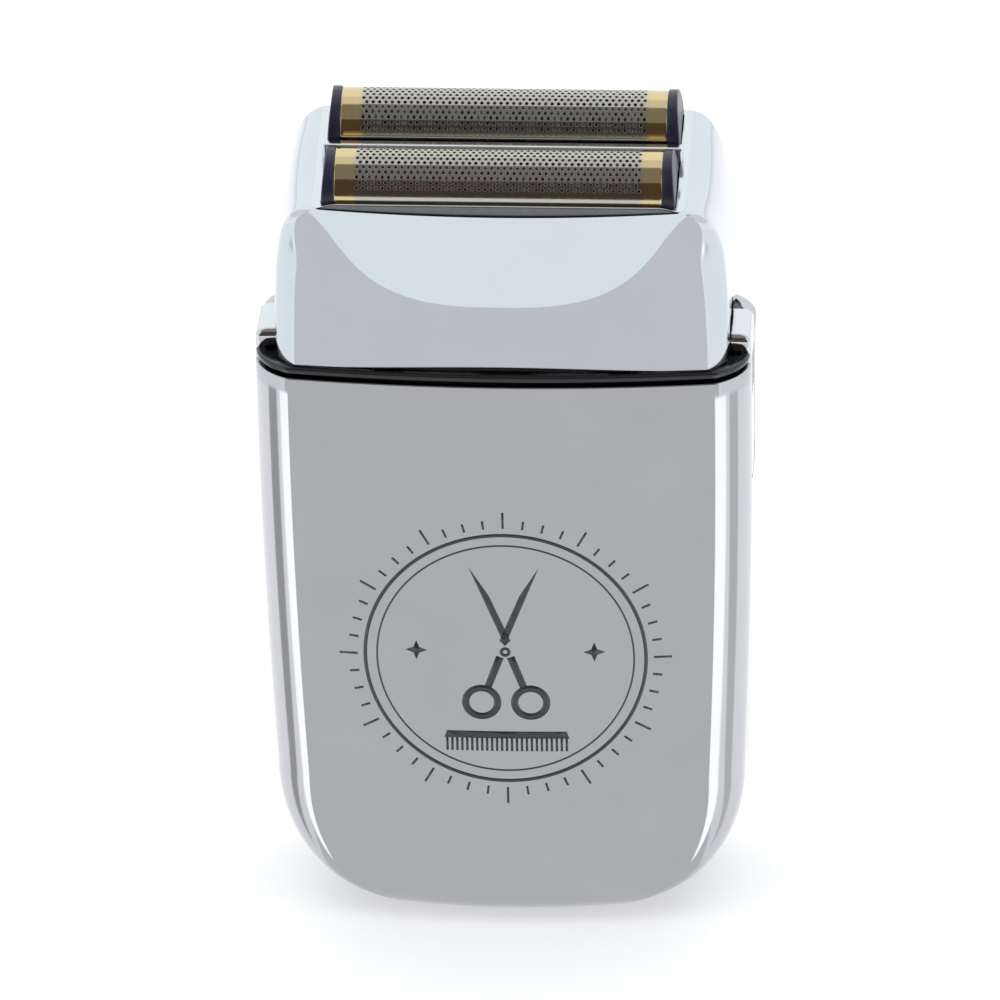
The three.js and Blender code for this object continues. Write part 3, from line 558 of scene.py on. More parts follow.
def foil_frame(look, shade):
    """The frame round both foils, flush at the sides, with a lip in front and at the back, and a divider."""
    half_x = FRAME_HIGH.x
    half_y = FRAME_HIGH.y
    bead = 0.3
    lip_height = 0.6
    side_height = 0.05
    reach = {"x": half_x - CRADLE_HIGH.x - 0.12, "y": 0.55}

    def dense(points, step=0.8):
        out = []
        for a, b in zip(points, points[1:] + points[:1]):
            pieces = max(1, round(math.dist(a, b) / step))
            out += [(lerp(a[0], b[0], i / pieces), lerp(a[1], b[1], i / pieces)) for i in range(pieces)]
        return out

    outline = dense(rounded((-half_x, -half_y), (half_x, half_y), 1.1, 8))
    section = [(0.0, None), (0.0, -bead)]
    for angle in np.linspace(0.3, math.pi / 2, 5):
        section.append((bead * (1 - math.cos(angle)), bead * (math.sin(angle) - 1)))
    section += [(0.9, 0.0), (1.0, -0.08), (1.0, None)]
    rings = []
    for share, place in section:
        ring = []
        for x, y in outline:
            inset_x = share * (reach["x"] if share > 0.8 else 1)
            inset_y = share * (reach["y"] if share > 0.8 else 1)
            px = x * (half_x - inset_x) / half_x
            py = y * (half_y - inset_y) / half_y
            height = lerp(lip_height, side_height, smooth_step(22.5, 25.0, abs(x)))
            deck = deck_height(y)
            z = deck - lip_bow(x, y) - 0.12 if place is None else deck + height + place * height
            ring.append((px, py, z))
        rings.append(ring)
    rim = loft("foil_surround", rings, closed=True)
    sharp(rim, 50)
    finish_piece(rim, "head", "foil_frame", look)
    rim.data.materials.append(shade)
    for face in rim.data.polygons:
        on_lip = abs(face.normal.y) > 0.8 and abs(face.center.y) > (half_y - 0.1) * MM
        face.material_index = 1 if on_lip else 0
    top = FOIL_CENTRE + 2.9
    outline = rounded((-0.9, top - 8), (0.9, top), 0.45, 5)
    points = [(y, z) for y, z in outline]
    divider = prism("foil_divider", points, "x", -WINDOW_HALF_X + 0.05, WINDOW_HALF_X - 0.05)
    bevel(divider, 0.5, 4)
    finish_piece(divider, "head", None, look)


# ---- Foils ----
HOLE_PITCH = 0.87
HOLE_ROW = HOLE_PITCH * math.sqrt(3) / 2
HOLE_RADIUS = 0.24
HOLE_RIM = 0.055
HOLE_ROWS = 17
HOLE_COLUMNS = 45
FOIL_THICKNESS = 0.14


def foil(row, look):
    """A thin arched sheet with a brick pattern of real holes, on a lattice of quarter pitches."""
    y0 = ROWS[row]["y"]
    z0 = ROWS[row]["z"]
    radius = FOIL_RADIUS - 0.02
    quarter = HOLE_PITCH / 4
    half_row = HOLE_ROW / 2
    columns = int(FOIL_HALF_LENGTH / quarter)
    arch = math.pi * radius / 2
    rows_up = math.ceil((arch + FOIL_LEG) / half_row)
    points = []
    index = {}

    def place(u, v, sink=0.0):
        """Along X and along the arch, measured from its top."""
        if abs(v) > arch:
            y = math.copysign(radius - sink, v)
            return (u, y0 + y, z0 - (abs(v) - arch))
        angle = v / radius
        return (u, y0 + (radius - sink) * math.sin(angle), z0 + (radius - sink) * math.cos(angle))

    def lattice(i, j):
        if (i, j) not in index:
            u = max(-FOIL_HALF_LENGTH, min(FOIL_HALF_LENGTH, i * quarter))
            if abs(i) == columns:
                u = math.copysign(FOIL_HALF_LENGTH, i)
            v = max(-arch - FOIL_LEG, min(arch + FOIL_LEG, j * half_row))
            index[(i, j)] = len(points)
            points.append(place(u, v))
        return index[(i, j)]

    faces = []
    holed = set()
    for line in range(HOLE_ROWS):
        j = 2 * (line - HOLE_ROWS // 2)
        odd = line % 2
        for column in range(HOLE_COLUMNS - odd):
            i = 4 * (column - HOLE_COLUMNS // 2) + 2 * odd
            edge = [(-2, -1), (-1, -1), (0, -1), (1, -1), (2, -1), (2, 0)]
            edge += [(2, 1), (1, 1), (0, 1), (-1, 1), (-2, 1), (-2, 0)]
            outer = [lattice(i + a, j + b) for a, b in edge]
            for reach, sink in ((HOLE_RADIUS + HOLE_RIM, 0.0), (HOLE_RADIUS, 0.02)):
                inner = []
                for a, b in edge:
                    angle = math.atan2(b * half_row, a * quarter)
                    u = i * quarter + reach * math.cos(angle)
                    v = j * half_row + reach * math.sin(angle)
                    inner.append(len(points))
                    points.append(place(u, v, sink))
                for k in range(12):
                    m = (k + 1) % 12
                    faces.append((outer[k], outer[m], inner[m], inner[k]))
                outer = inner
            holed.update((i + a, j + b) for a in (-2, -1, 0, 1) for b in (-1, 0))
    for i in range(-columns, columns):
        for j in range(-rows_up, rows_up):
            if (i, j) not in holed:
                faces.append((lattice(i, j), lattice(i + 1, j), lattice(i + 1, j + 1), lattice(i, j + 1)))
    sheet = mesh_object(f"{row}_perforated_foil", points, faces)

    def orient(bm):
        bmesh.ops.remove_doubles(bm, verts=bm.verts, dist=1e-7)
        bmesh.ops.recalc_face_normals(bm, faces=bm.faces)
        top = max(bm.faces, key=lambda f: f.calc_center_median().z)
        if top.normal.z < 0:
            bmesh.ops.reverse_faces(bm, faces=bm.faces)

    edit(sheet, orient)
    sheet.data.shade_smooth()
    thickness = sheet.modifiers.new("thickness", "SOLIDIFY")
    thickness.thickness = FOIL_THICKNESS * MM
    thickness.offset = -1
    finish_piece(sheet, f"{row}_foil_unit", f"{row}_foil", look)


def foil_cradle(row, look):
    """Two end caps that flare towards the deck, joined by the rails under the foil."""
    y0 = ROWS[row]["y"]
    z0 = ROWS[row]["z"]
    radius = (CRADLE_HIGH.y - CRADLE_LOW.y) / 2
    drop = FOIL_CENTRE - CRADLE_LOW.z
    inner_x = FOIL_HALF_LENGTH - 0.15
    caps = []
    for side in (-1, 1):
        outline = [(radius, -drop), (radius, -drop / 2)]
        outline += [(radius * math.cos(a), radius * math.sin(a)) for a in np.linspace(0, math.pi, 41)]
        outline += [(-radius, -drop / 2), (-radius, -drop)]
        rings = []
        edge = 0.35
        for depth, shrink in ((0, 0.1), (0.1, 0.0), (0.9, 0.0), (0.97, 0.12), (1.0, edge)):
            ring = []
            for y, z in outline:
                scale = (radius - shrink) / radius
                height = max(0.0, z) / radius
                outer_x = CRADLE_HIGH.x - 0.45 * height ** 1.5
                x = side * lerp(inner_x, outer_x, depth)
                ring.append((x, y0 + y * scale, z0 + (z * scale if z > 0 else z)))
            rings.append(ring)
        cap = loft(f"{row}_cap_{'left' if side < 0 else 'right'}", rings)
        sharp(cap, 40)
        caps.append(cap)
    rail_y = (4.7, FOIL_RADIUS)
    rails = []
    for side in (-1, 1):
        low_y, high_y = bounds_on(side, *rail_y)
        rail = block((-inner_x - 0.3, y0 + low_y, z0 - drop), (inner_x + 0.3, y0 + high_y, z0 - 1.5))
        rail.name = f"{row}_rail_{'front' if side < 0 else 'rear'}"
        rails.append(bevel(rail, 0.1, 2))
    for number, piece in enumerate(caps + rails):
        if number == 0:
            finish_piece(piece, f"{row}_foil_unit", f"{row}_foil_cradle", look)
        else:
            finish_piece(piece, f"{row}_foil_unit", None, look)


# ---- Buttons, slider and other fittings ----
def button_section(side, z, near, dome_y=0.0, dome_x=0.0):
    """One level of a button: a rounded rectangle from its inner face to the casing's skin."""
    far = body_half_width(min(z, BODY_TOP)) - 0.02 - dome_x
    low_y = BUTTON_LOW.y + dome_y
    high_y = BUTTON_HIGH.y - dome_y
    corner = min(0.7, (far - near) / 2.5)
    outline = rounded((near, low_y), (far, high_y), corner, 5)
    points = [(side * x, y, z) for x, y in outline]
    return points if side > 0 else points[::-1]


def release_button(side, look):
    low, high = BUTTON_LOW, BUTTON_HIGH
    strip_x = 32.2
    ear_x = low.x
    foot = 2.0
    dome = 1.3
    top = high.z - 1.0
    rings = []
    for step in range(9):
        angle = math.pi / 2 * step / 8
        z = low.z + foot * (1 - math.cos(angle))
        rings.append(button_section(side, z, strip_x, foot * (1 - math.sin(angle))))
    for z in (low.z + 5, low.z + 9, low.z + 13, low.z + 17, HEAD_BOTTOM - 0.25):
        rings.append(button_section(side, z, strip_x))
    rings.append(button_section(side, HEAD_BOTTOM, ear_x + 0.15))
    rings.append(button_section(side, HEAD_BOTTOM + 0.15, ear_x))
    for step in range(11):
        angle = math.pi / 2 * step / 10
        z = top - dome + dome * math.sin(angle)
        away = dome * (1 - math.cos(angle))
        rings.append(button_section(side, z, ear_x + away * 0.15, away * 0.75, away * 1.1))
    button = loft(f"{'left' if side < 0 else 'right'}_button", rings)
    grooves = []
    for number in range(5):
        z = RING_LOW_EDGE - 1.2 * (number + 1)
        near, far = bounds_on(side, BODY_HALF_WIDTH - 0.35, 36)
        outline = rounded((low.y + 1.5, z), (high.y - 1.5, z + 0.6), 0.28, 4)
        grooves.append(facing_out(prism("carver", outline, "x", near, far)))
    carve(button, *grooves)
    sharp(button, 38)
    word = "left" if side < 0 else "right"
    finish_piece(button, f"{word}_button", f"{word}_release_button", look)


def power_slider(look):
    low, high = SWITCH_LOW, SWITCH_HIGH
    middle = (low.z + high.z) / 2
    knob_x, knob_z = 2.9, 3.4
    groove_x = 2.3
    groove_pitch = 1.15
    knob_outline = rounded((-knob_x, middle - knob_z), (knob_x, middle + knob_z), 1.0)
    knob = prism("slider_knob", knob_outline, "y", low.y + 0.4, high.y - 0.1)
    plate = prism("plate", rounded((-5, low.z), (5, high.z), 0.6), "y", low.y, low.y + 0.9)
    join = knob.modifiers.new("plate", "BOOLEAN")
    join.operation = "UNION"
    join.solver = "EXACT"
    join.object = plate
    applied(knob)
    bpy.data.objects.remove(plate)
    grooves = []
    for number in (-2, -1, 0, 1, 2):
        z = middle + number * groove_pitch
        outline = [(z - 0.35, 0.3), (z, -0.35), (z + 0.35, 0.3)]
        points = [(high.y + depth, place) for place, depth in outline]
        grooves.append(facing_out(prism("carver", points, "x", -groove_x, groove_x)))
    carve(knob, *grooves)
    bevel(knob, 0.12, 2, 50)
    sharp(knob, 40)
    finish_piece(knob, "slider", "power_switch", look)


def shell_screw(name, look):
    x, z = screw_centre(name)
    low, high = box_mm(name)
    head = 2.05
    shank = 1
    seat = high.y - 1.5
    slot_reach, slot_half = 1.25, 0.26
    profile = [(0, low.y), (shank, low.y + 0.3), (shank, seat), (head, seat), (head, high.y - 0.55)]
    profile += [(head - 0.15, high.y - 0.3), (head - 0.6, high.y - 0.08), (0, high.y)]
    screw = turned(f"{name}_fine", profile, "y", (x, z), 48)
    for wide, tall in ((slot_reach, slot_half), (slot_half, slot_reach)):
        carve(screw, block((x - wide, high.y - 0.8, z - tall), (x + wide, high.y + 1, z + tall)))
    sharp(screw, 30)
    finish_piece(screw, "handle", name, look)


def light_pipe(look):
    low, high = LIGHT_LOW, LIGHT_HIGH
    radius = 1.5
    profile = [(0, low.y), (high.x, low.y), (high.x, low.y + 0.7), (radius, low.y + 0.7)]
    profile += [(radius, high.y - 0.3), (radius - 0.2, high.y - 0.08), (radius - 0.6, high.y)]
    profile.append((0, high.y + 0.02))
    lens = turned("status_lens", profile, "y", (0, (low.z + high.z) / 2), 48)
    finish_piece(lens, "handle", "light_pipe", look)


def charging_socket(look, pin_look):
    low, high = SOCKET_LOW, SOCKET_HIGH
    bore = 3.3
    outer = high.x - SOCKET_FLANGE
    profile = [(bore + 0.25, low.z), (outer - 0.2, low.z), (outer, low.z + 0.2), (outer, FLOOR + 0.3)]
    profile += [(high.x, FLOOR + 0.3), (high.x, FLOOR + 1.5), (outer, FLOOR + 1.5), (outer, high.z)]
    profile += [(0, high.z), (0, high.z - 1.2), (bore, high.z - 1.2), (bore, low.z + 0.25)]
    rings = [[(a, b, z) for a, b in circle(max(r, 0.001), 64)] for r, z in profile]
    socket = loft("inlet_body", rings, closed=True)
    sharp(socket, 30)
    finish_piece(socket, "handle", "charging_socket", look)
    pin_profile = [(0, 5.6), (0.5, 5.7), (0.85, 6.1), (0.85, high.z - 1.25), (0, high.z - 1.25)]
    pin = turned("inlet_pin", pin_profile, "z", (0, 0), 32)
    finish_piece(pin, "handle", None, pin_look)


# ---- Engraved ornament: a plain round medallion with open scissors over a comb ----
MEDAL_Z = 42.0
ENGRAVING_RISE = 0.02
ENGRAVING_THICKNESS = 0.03


def engraved(name, outlines, look):
    """Flat outlines in (x, z) laid on the handle's curved front, as thin closed plates."""
    bm = bmesh.new()
    for outline in outlines:
        verts = [bm.verts.new((x, 0, z)) for x, z in outline]
        bm.faces.new(verts)
    bmesh.ops.remove_doubles(bm, verts=bm.verts, dist=0.001)
    bmesh.ops.triangulate(bm, faces=bm.faces)
    for _ in range(3):
        long_edges = [e for e in bm.edges if e.calc_length() > 1.6]
        if long_edges:
            bmesh.ops.subdivide_edges(bm, edges=long_edges, cuts=1)
            bmesh.ops.triangulate(bm, faces=[f for f in bm.faces if len(f.verts) > 3])
    for vert in bm.verts:
        x, _, z = vert.co
        vert.co = Vector((x, front_of_body(x, z) - ENGRAVING_RISE, z)) * MM
    for face in bm.faces:
        face.normal_update()
        if face.normal.y > 0:
            face.normal_flip()
    mesh = bpy.data.meshes.new(name)
    bm.to_mesh(mesh)
    bm.free()
    piece = new_object(name, mesh)
    piece.data.shade_smooth()
    thickness = piece.modifiers.new("thickness", "SOLIDIFY")
    thickness.thickness = ENGRAVING_THICKNESS * MM
    thickness.offset = -1
    finish_piece(piece, "handle", None, look)


def annulus(cx, cz, inner, outer, count=120):
    """Quads of a flat ring."""
    quads = []
    ring_in = circle(inner, count)
    ring_out = circle(outer, count)
    for i in range(count):
        j = (i + 1) % count
        quads.append([(cx + a, cz + b) for a, b in (ring_out[i], ring_out[j], ring_in[j], ring_in[i])])
    return quads


def turn(points, angle, centre=(0.0, 0.0)):
    c, s = math.cos(angle), math.sin(angle)
    out = []
    for x, z in points:
        dx, dz = x - centre[0], z - centre[1]
        out.append((centre[0] + c * dx - s * dz, centre[1] + s * dx + c * dz))
    return out


def ornament(look):
    outer_ring = (19.0, 19.5)
    inner_ring = (17.5, 17.75)
    ticks = 48
    tick_start, short_tick, long_tick = 20.3, 21.6, 22.8
    half = 0.16
    shapes = annulus(0, MEDAL_Z, *outer_ring) + annulus(0, MEDAL_Z, *inner_ring)
    for number in range(ticks):
        angle = 2 * math.pi * number / ticks
        far = short_tick if number % 4 else long_tick
        tick = [(tick_start, -half), (far, -half), (far, half), (tick_start, half)]
        shapes.append([(x, MEDAL_Z + z) for x, z in turn(tick, angle)])
    pivot = (0.0, MEDAL_Z + 1.0)
    for side in (-1, 1):
        lean = side * math.radians(21)
        blade = [(0.35 * side, 0.9), (1.35 * side, 1.4), (1.2 * side, 9.0), (0.25 * side, 14.0)]
        shank = [(0.95 * side, -1.0), (-0.15 * side, -1.0), (-0.2 * side, -6.2), (0.8 * side, -6.2)]
        for part in (blade, shank):
            shapes.append([(x + pivot[0], z + pivot[1]) for x, z in turn(part, lean)])
        grip = turn([(0.3 * side, -8.6)], lean)[0]
        shapes += annulus(grip[0], pivot[1] + grip[1], 1.7, 2.7, 48)
    shapes += annulus(pivot[0], pivot[1], 0.3, 0.75, 32)
    comb_z = MEDAL_Z - 12.6
    comb_x = 8.2
    teeth = 25
    tip_z = comb_z - 2.0
    tooth_half = 0.17
    shapes.append([(-8.6, comb_z), (8.6, comb_z), (comb_x, comb_z + 1.1), (-comb_x, comb_z + 1.1)])
    for number in range(teeth):
        x = -comb_x + number * 2 * comb_x / (teeth - 1)
        low, high = x - tooth_half, x + tooth_half
        shapes.append([(low, tip_z), (high, tip_z), (high, comb_z), (low, comb_z)])
    for side in (-1, 1):
        tip, waist = 1.5, 0.42
        star = [(0, tip), (waist, waist), (tip, 0), (waist, -waist)]
        star += [(0, -tip), (-waist, -waist), (-tip, 0), (-waist, waist)]
        shapes.append([(side * 12.2 + x, MEDAL_Z + 1 + z) for x, z in star])
    engraved("front_engraving", shapes, look)


# ---- Materials ----
def node_material(name):
    material = bpy.data.materials.new(name)
    material.use_nodes = True
    tree = material.node_tree
    shader = tree.nodes["Principled BSDF"]
    return material, tree, shader


def noise(tree, scale, detail=4.0, roughness=0.5, stretch=(1, 1, 1)):
    """Noise in object space, where one unit is a metre; stretch squeezes it along an axis."""
    coordinates = tree.nodes.new("ShaderNodeTexCoord")
    mapping = tree.nodes.new("ShaderNodeMapping")
    mapping.inputs["Scale"].default_value = stretch
    texture = tree.nodes.new("ShaderNodeTexNoise")
    texture.inputs["Scale"].default_value = scale
    texture.inputs["Detail"].default_value = detail
    texture.inputs["Roughness"].default_value = roughness
    tree.links.new(coordinates.outputs["Object"], mapping.inputs["Vector"])
    tree.links.new(mapping.outputs["Vector"], texture.inputs["Vector"])
    return texture.outputs["Fac"]


def spread(tree, value, low, high, from_low=0.3, from_high=0.7):
    node = tree.nodes.new("ShaderNodeMapRange")
    node.inputs["From Min"].default_value = from_low
    node.inputs["From Max"].default_value = from_high
    node.inputs["To Min"].default_value = low
    node.inputs["To Max"].default_value = high
    tree.links.new(value, node.inputs["Value"])
    return node.outputs["Result"]


def tint(tree, value, low, high):
    node = tree.nodes.new("ShaderNodeMix")
    node.data_type = "RGBA"
    node.inputs["A"].default_value = (*low, 1)
    node.inputs["B"].default_value = (*high, 1)
    tree.links.new(value, node.inputs["Factor"])
    return node.outputs["Result"]


def bump(tree, shader, value, strength, distance):
    node = tree.nodes.new("ShaderNodeBump")
    node.inputs["Strength"].default_value = strength
    node.inputs["Distance"].default_value = distance * MM
    tree.links.new(value, node.inputs["Height"])
    tree.links.new(node.outputs["Normal"], shader.inputs["Normal"])


def metal(name, dark, light, rough_low, rough_high, grain=None, relief=0.0):
    """Plated or bare metal: clouded colour and roughness, and a fine grain in the surface."""
    material, tree, shader = node_material(name)
    shader.inputs["Metallic"].default_value = 1.0
    clouds = noise(tree, 90.0, 3)
    tree.links.new(tint(tree, clouds, dark, light), shader.inputs["Base Color"])
    scratches = noise(tree, 1500.0, 2, 0.6, grain or (1, 1, 1))
    tree.links.new(spread(tree, scratches, rough_low, rough_high), shader.inputs["Roughness"])
    if relief:
        bump(tree, shader, scratches, 0.25, relief)
    return material


def plastic(name, dark, light, rough_low, rough_high, relief=0.01, coat=0.0):
    material, tree, shader = node_material(name)
    grain = noise(tree, 2500.0, 3)
    tree.links.new(tint(tree, noise(tree, 150.0, 3), dark, light), shader.inputs["Base Color"])
    tree.links.new(spread(tree, grain, rough_low, rough_high), shader.inputs["Roughness"])
    shader.inputs["Coat Weight"].default_value = coat
    bump(tree, shader, grain, 0.2, relief)
    return material


def gold_foil():
    """Gold at the plain ends, paler grey gold where the sheet is punched: painted sheen for the light that
    the hole rims catch.
    """
    material, tree, shader = node_material("gold_foil")
    shader.inputs["Metallic"].default_value = 1.0
    coordinates = tree.nodes.new("ShaderNodeTexCoord")
    split = tree.nodes.new("ShaderNodeSeparateXYZ")
    tree.links.new(coordinates.outputs["Object"], split.inputs["Vector"])
    size = tree.nodes.new("ShaderNodeMath")
    size.operation = "ABSOLUTE"
    tree.links.new(split.outputs["X"], size.inputs[0])
    punched = HOLE_COLUMNS / 2 * HOLE_PITCH * MM
    plain = spread(tree, size.outputs["Value"], 0, 1, punched - 0.6 * MM, punched + 0.3 * MM)
    # The grey gold over the punched zone is painted sheen from the hole rims.
    tree.links.new(tint(tree, plain, (0.50, 0.48, 0.41), (0.70, 0.56, 0.31)), shader.inputs["Base Color"])
    tree.links.new(spread(tree, noise(tree, 900.0, 3), 0.09, 0.14), shader.inputs["Roughness"])
    return material


def board_look():
    """Green solder mask with lighter copper tracks under it."""
    material, tree, shader = node_material("board_mask")
    tracks = tree.nodes.new("ShaderNodeTexBrick")
    tracks.inputs["Scale"].default_value = 220.0
    tracks.inputs["Color1"].default_value = (0.01, 0.11, 0.045, 1)
    tracks.inputs["Color2"].default_value = (0.012, 0.13, 0.05, 1)
    tracks.inputs["Mortar"].default_value = (0.03, 0.24, 0.1, 1)
    coordinates = tree.nodes.new("ShaderNodeTexCoord")
    tree.links.new(coordinates.outputs["Object"], tracks.inputs["Vector"])
    tree.links.new(tracks.outputs["Color"], shader.inputs["Base Color"])
    tree.links.new(spread(tree, noise(tree, 700.0), 0.25, 0.4), shader.inputs["Roughness"])
    return material


def lens_look():
    material, tree, shader = node_material("status_lens_look")
    glass = tint(tree, noise(tree, 300.0), (0.62, 0.76, 0.9), (0.75, 0.86, 0.95))
    tree.links.new(glass, shader.inputs["Base Color"])
    tree.links.new(spread(tree, noise(tree, 900.0), 0.08, 0.16), shader.inputs["Roughness"])
    return material


def finish_piece(piece, body, node, look):
    """Gives a piece its look and its body, and hides the CAD node that it stands for."""
    piece.data.materials.clear()
    piece.data.materials.append(look)
    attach(piece, body)
    if node:
        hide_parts(node)


LOOKS = {
    "casing": metal("casing_silver", (0.52, 0.525, 0.55), (0.56, 0.565, 0.59), 0.10, 0.13),
    "head": metal("head_silver", (0.63, 0.66, 0.70), (0.67, 0.70, 0.74), 0.08, 0.11),
    "trim": metal("bright_trim_look", (0.68, 0.69, 0.71), (0.74, 0.75, 0.77), 0.08, 0.12),
    "lip_shade": metal("lip_shadow", (0.16, 0.16, 0.17), (0.2, 0.2, 0.21), 0.2, 0.3),
    "steel": metal(
        "plain_steel", (0.44, 0.44, 0.45), (0.56, 0.56, 0.57), 0.24, 0.36, grain=(1, 8, 1), relief=0.01
    ),
    # Near-black cutter metal: painted shade standing in for the dark inside the foil holes.
    "blade": metal("cutters_painted_shade", (0.10, 0.10, 0.105), (0.17, 0.17, 0.175), 0.3, 0.42),
    "brass": metal("spring_wire", (0.55, 0.42, 0.18), (0.66, 0.52, 0.25), 0.25, 0.35),
    "engraving": metal("engraved_grey", (0.085, 0.09, 0.095), (0.11, 0.115, 0.12), 0.42, 0.55),
    "seal": plastic(
        "gloss_black", (0.006, 0.0065, 0.008), (0.012, 0.0125, 0.015), 0.14, 0.2, 0.004, coat=0.3
    ),
    "black": plastic("moulded_black", (0.012, 0.012, 0.013), (0.02, 0.02, 0.021), 0.42, 0.55, 0.02),
    "navy": plastic("moulded_navy", (0.008, 0.008, 0.022), (0.014, 0.013, 0.034), 0.26, 0.34, 0.006),
    "white": plastic("acetal_white", (0.66, 0.66, 0.63), (0.74, 0.74, 0.71), 0.38, 0.48, 0.01),
    "wrap": plastic("battery_wrap_look", (0.03, 0.11, 0.34), (0.045, 0.14, 0.4), 0.22, 0.3, 0.006),
    "gold": gold_foil(),
    "board": board_look(),
    "lens": lens_look(),
}
NODE_LOOKS = {
    "steel": "steel",
    "spring_brass": "brass",
    "white_plastic": "white",
    "black_plastic": "black",
    "battery_wrap": "wrap",
    "board_green": "board",
}


def dress_inner_nodes():
    """Gives every CAD node that stays its look, by the record's material slot."""
    for subpart in frame["record"]["subparts"]:
        node = frame["nodes"][subpart["node"]]
        look = NODE_LOOKS.get(subpart["material_slot"])
        # The cutters get the near-black metal: painted shade, so the holes in the foils look dark.
        if subpart["node"].endswith("_cutter"):
            look = "blade"
        if look and not node.hide_render:
            node.data.materials.clear()
            node.data.materials.append(LOOKS[look])
            edge = node.modifiers.new("edge", "BEVEL")
            edge.width = 0.08 * MM
            edge.segments = 2
            edge.limit_method = "ANGLE"
            edge.angle_limit = math.radians(35)


# ---- Stage ----
def emission(name, colour, strength):
    material = bpy.data.materials.new(name)
    material.use_nodes = True
    tree = material.node_tree
    tree.nodes.clear()
    glow = tree.nodes.new("ShaderNodeEmission")
    glow.inputs["Color"].default_value = (*colour, 1)
    glow.inputs["Strength"].default_value = strength
    output = tree.nodes.new("ShaderNodeOutputMaterial")
    tree.links.new(glow.outputs["Emission"], output.inputs["Surface"])
    return material


def card(name, corners, strength, colour=(1, 1, 1)):
    """A studio card seen only in reflections. Corners in millimetres."""
    piece = mesh_object(name, corners, [tuple(range(len(corners)))], smooth=False)
    piece.data.materials.append(emission(name, colour, strength))
    piece.visible_camera = False
    piece.visible_diffuse = False
    piece.visible_shadow = False


def floor():
    size = 3000
    low = -0.3
    corners = [(-size, -size, low), (size, -size, low), (size, size, low), (-size, size, low)]
    base = mesh_object("studio_floor", corners, [(0, 1, 2, 3)])
    material, tree, shader = node_material("floor_paper")
    shader.inputs["Roughness"].default_value = 0.9
    shader.inputs["Specular IOR Level"].default_value = 0.1
    paper = tint(tree, noise(tree, 12.0), (0.56, 0.56, 0.56), (0.58, 0.58, 0.58))
    tree.links.new(paper, shader.inputs["Base Color"])
    tree.links.new(paper, shader.inputs["Emission Color"])
    shader.inputs["Emission Strength"].default_value = 0.75
    base.data.materials.append(material)


def area_light(name, place, target, size, power):
    data = bpy.data.lights.new(name, "AREA")
    data.shape = "RECTANGLE"
    data.size = size[0]
    data.size_y = size[1]
    data.energy = power
    light = bpy.data.objects.new(name, data)
    bpy.context.scene.collection.objects.link(light)
    light.location = place
    light.rotation_euler = (Vector(target) - Vector(place)).to_track_quat("-Z", "Y").to_euler()
    light.visible_glossy = False


def floor_sector(name, corner, azimuths, reaches, strength, side, colour=(1, 1, 1)):
    """A card lying on the floor, between two azimuths and two distances from a corner of the shaver."""
    height = 0.2
    steps = 8
    turns = [math.radians(lerp(*azimuths, step / steps)) for step in range(steps + 1)]
    corners = []
    for reach, order in ((reaches[0], turns[::-1]), (reaches[1], turns)):
        for azimuth in order:
            x = corner[0] + reach * math.sin(azimuth)
            corners.append((side * x, corner[1] - reach * math.cos(azimuth), height))
    card(name, corners if side > 0 else corners[::-1], strength, colour)


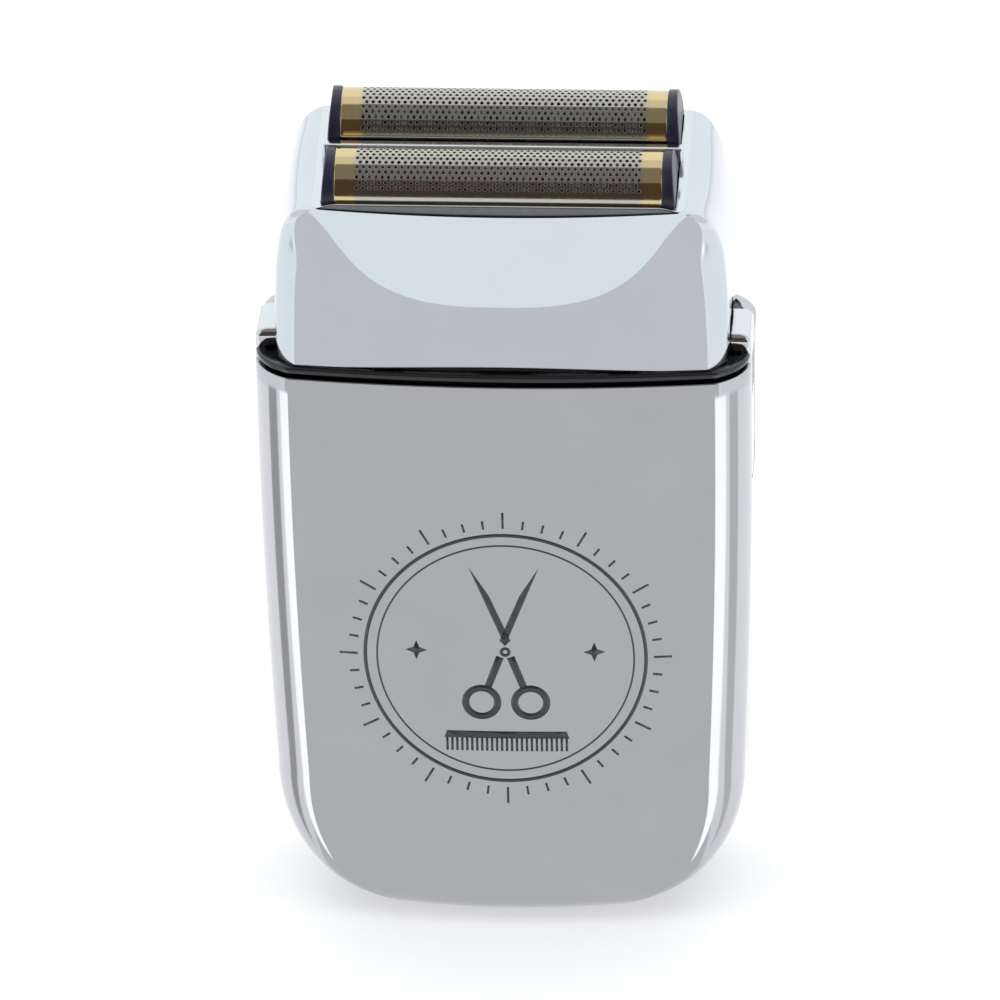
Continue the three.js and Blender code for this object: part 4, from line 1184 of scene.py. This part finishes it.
def stage():
    body_reach = 158  # the handle mirrors the floor up to here, and the head mirrors what lies beyond
    floor()
    world = bpy.data.worlds.new("studio")
    world.use_nodes = True
    world.node_tree.nodes["Background"].inputs["Color"].default_value = (0.95, 0.97, 1.0, 1)
    world.node_tree.nodes["Background"].inputs["Strength"].default_value = 0.9
    bpy.context.scene.world = world
    area_light("overhead", (0, 0.1, 1.2), (0, 0, 0.0), (1.6, 1.6), 10.0)
    grey = [(-30, -8, 0.1), (-355, -330, 0.1), (355, -330, 0.1), (30, -8, 0.1)]
    card("front_grey", grey, 0.76, (0.985, 0.99, 1.0))
    for side in (-1, 1):
        word = "left" if side < 0 else "right"
        handle = (0.5, body_reach)
        head = (body_reach, 330)
        floor_sector(f"{word}_glow", (30, -16), (29, 68), handle, 1.8, side)
        floor_sector(f"{word}_shade", (35, -10), (74, 98), handle, 0.5 if side < 0 else 0.75, side)
        floor_sector(f"{word}_head_glow", (30, -14), (52, 150), head, 1.08, side, (0.94, 0.985, 1.0))
    far_floor = [(-420, -340, 0.1), (-420, -760, 0.1), (420, -760, 0.1), (420, -340, 0.1)]
    card("scoop_glow", far_floor, 1.1, (0.93, 0.985, 1.0))
    front_wall = [(-700, -790, 1), (700, -790, 1), (700, -790, 900), (-700, -790, 900)]
    card("foil_shade", front_wall, 0.085, (1.0, 0.72, 0.6))
    overhead = [(-600, -780, 900), (600, -780, 900), (600, 40, 900), (-600, 40, 900)]
    card("ceiling", overhead, 0.25)
    back_wall = [(-900, 800, 120), (-900, 700, 1200), (900, 700, 1200), (900, 800, 120)]
    card("back_glow", back_wall, 1.15, (0.93, 0.98, 1.0))
    bpy.context.scene.view_settings.view_transform = "Standard"


def camera():
    azimuth, elevation, roll = math.radians(4.0), math.radians(28.7), math.radians(-1.17)
    distance = 2.6
    width = 0.1357  # how much the picture takes in, at the target
    below_rim = 0.0166
    left_of_rim = 0.00026
    level = math.cos(elevation)
    back = Vector((math.sin(azimuth) * level, -math.cos(azimuth) * level, math.sin(elevation)))
    right = Vector((math.cos(azimuth), math.sin(azimuth), 0))
    up = back.cross(right)
    rim = Vector((0, -BODY_HALF_DEPTH, RING_HIGH.z)) * MM
    target = rim - up * below_rim - right * left_of_rim
    data = bpy.data.cameras.new("camera")
    data.sensor_width = 36
    data.lens = data.sensor_width * distance / width
    eye = bpy.data.objects.new("camera", data)
    bpy.context.scene.collection.objects.link(eye)
    turned_right = right * math.cos(roll) + up * math.sin(roll)
    turned_up = back.cross(turned_right)
    matrix = Matrix((turned_right, turned_up, back)).transposed().to_4x4()
    matrix.translation = target + back * distance
    eye.matrix_world = matrix
    bpy.context.scene.camera = eye


camera()
stage()
shells(LOOKS["casing"])
seal_ring(LOOKS["seal"])
head_housing(LOOKS["head"])
foil_frame(LOOKS["trim"], LOOKS["lip_shade"])
for row in ROWS:
    foil(row, LOOKS["gold"])
    foil_cradle(row, LOOKS["navy"])
for side in (-1, 1):
    release_button(side, LOOKS["trim"])
power_slider(LOOKS["black"])
for screw in SCREWS:
    shell_screw(screw, LOOKS["steel"])
light_pipe(LOOKS["lens"])
charging_socket(LOOKS["black"], LOOKS["steel"])
ornament(LOOKS["engraving"])
dress_inner_nodes()
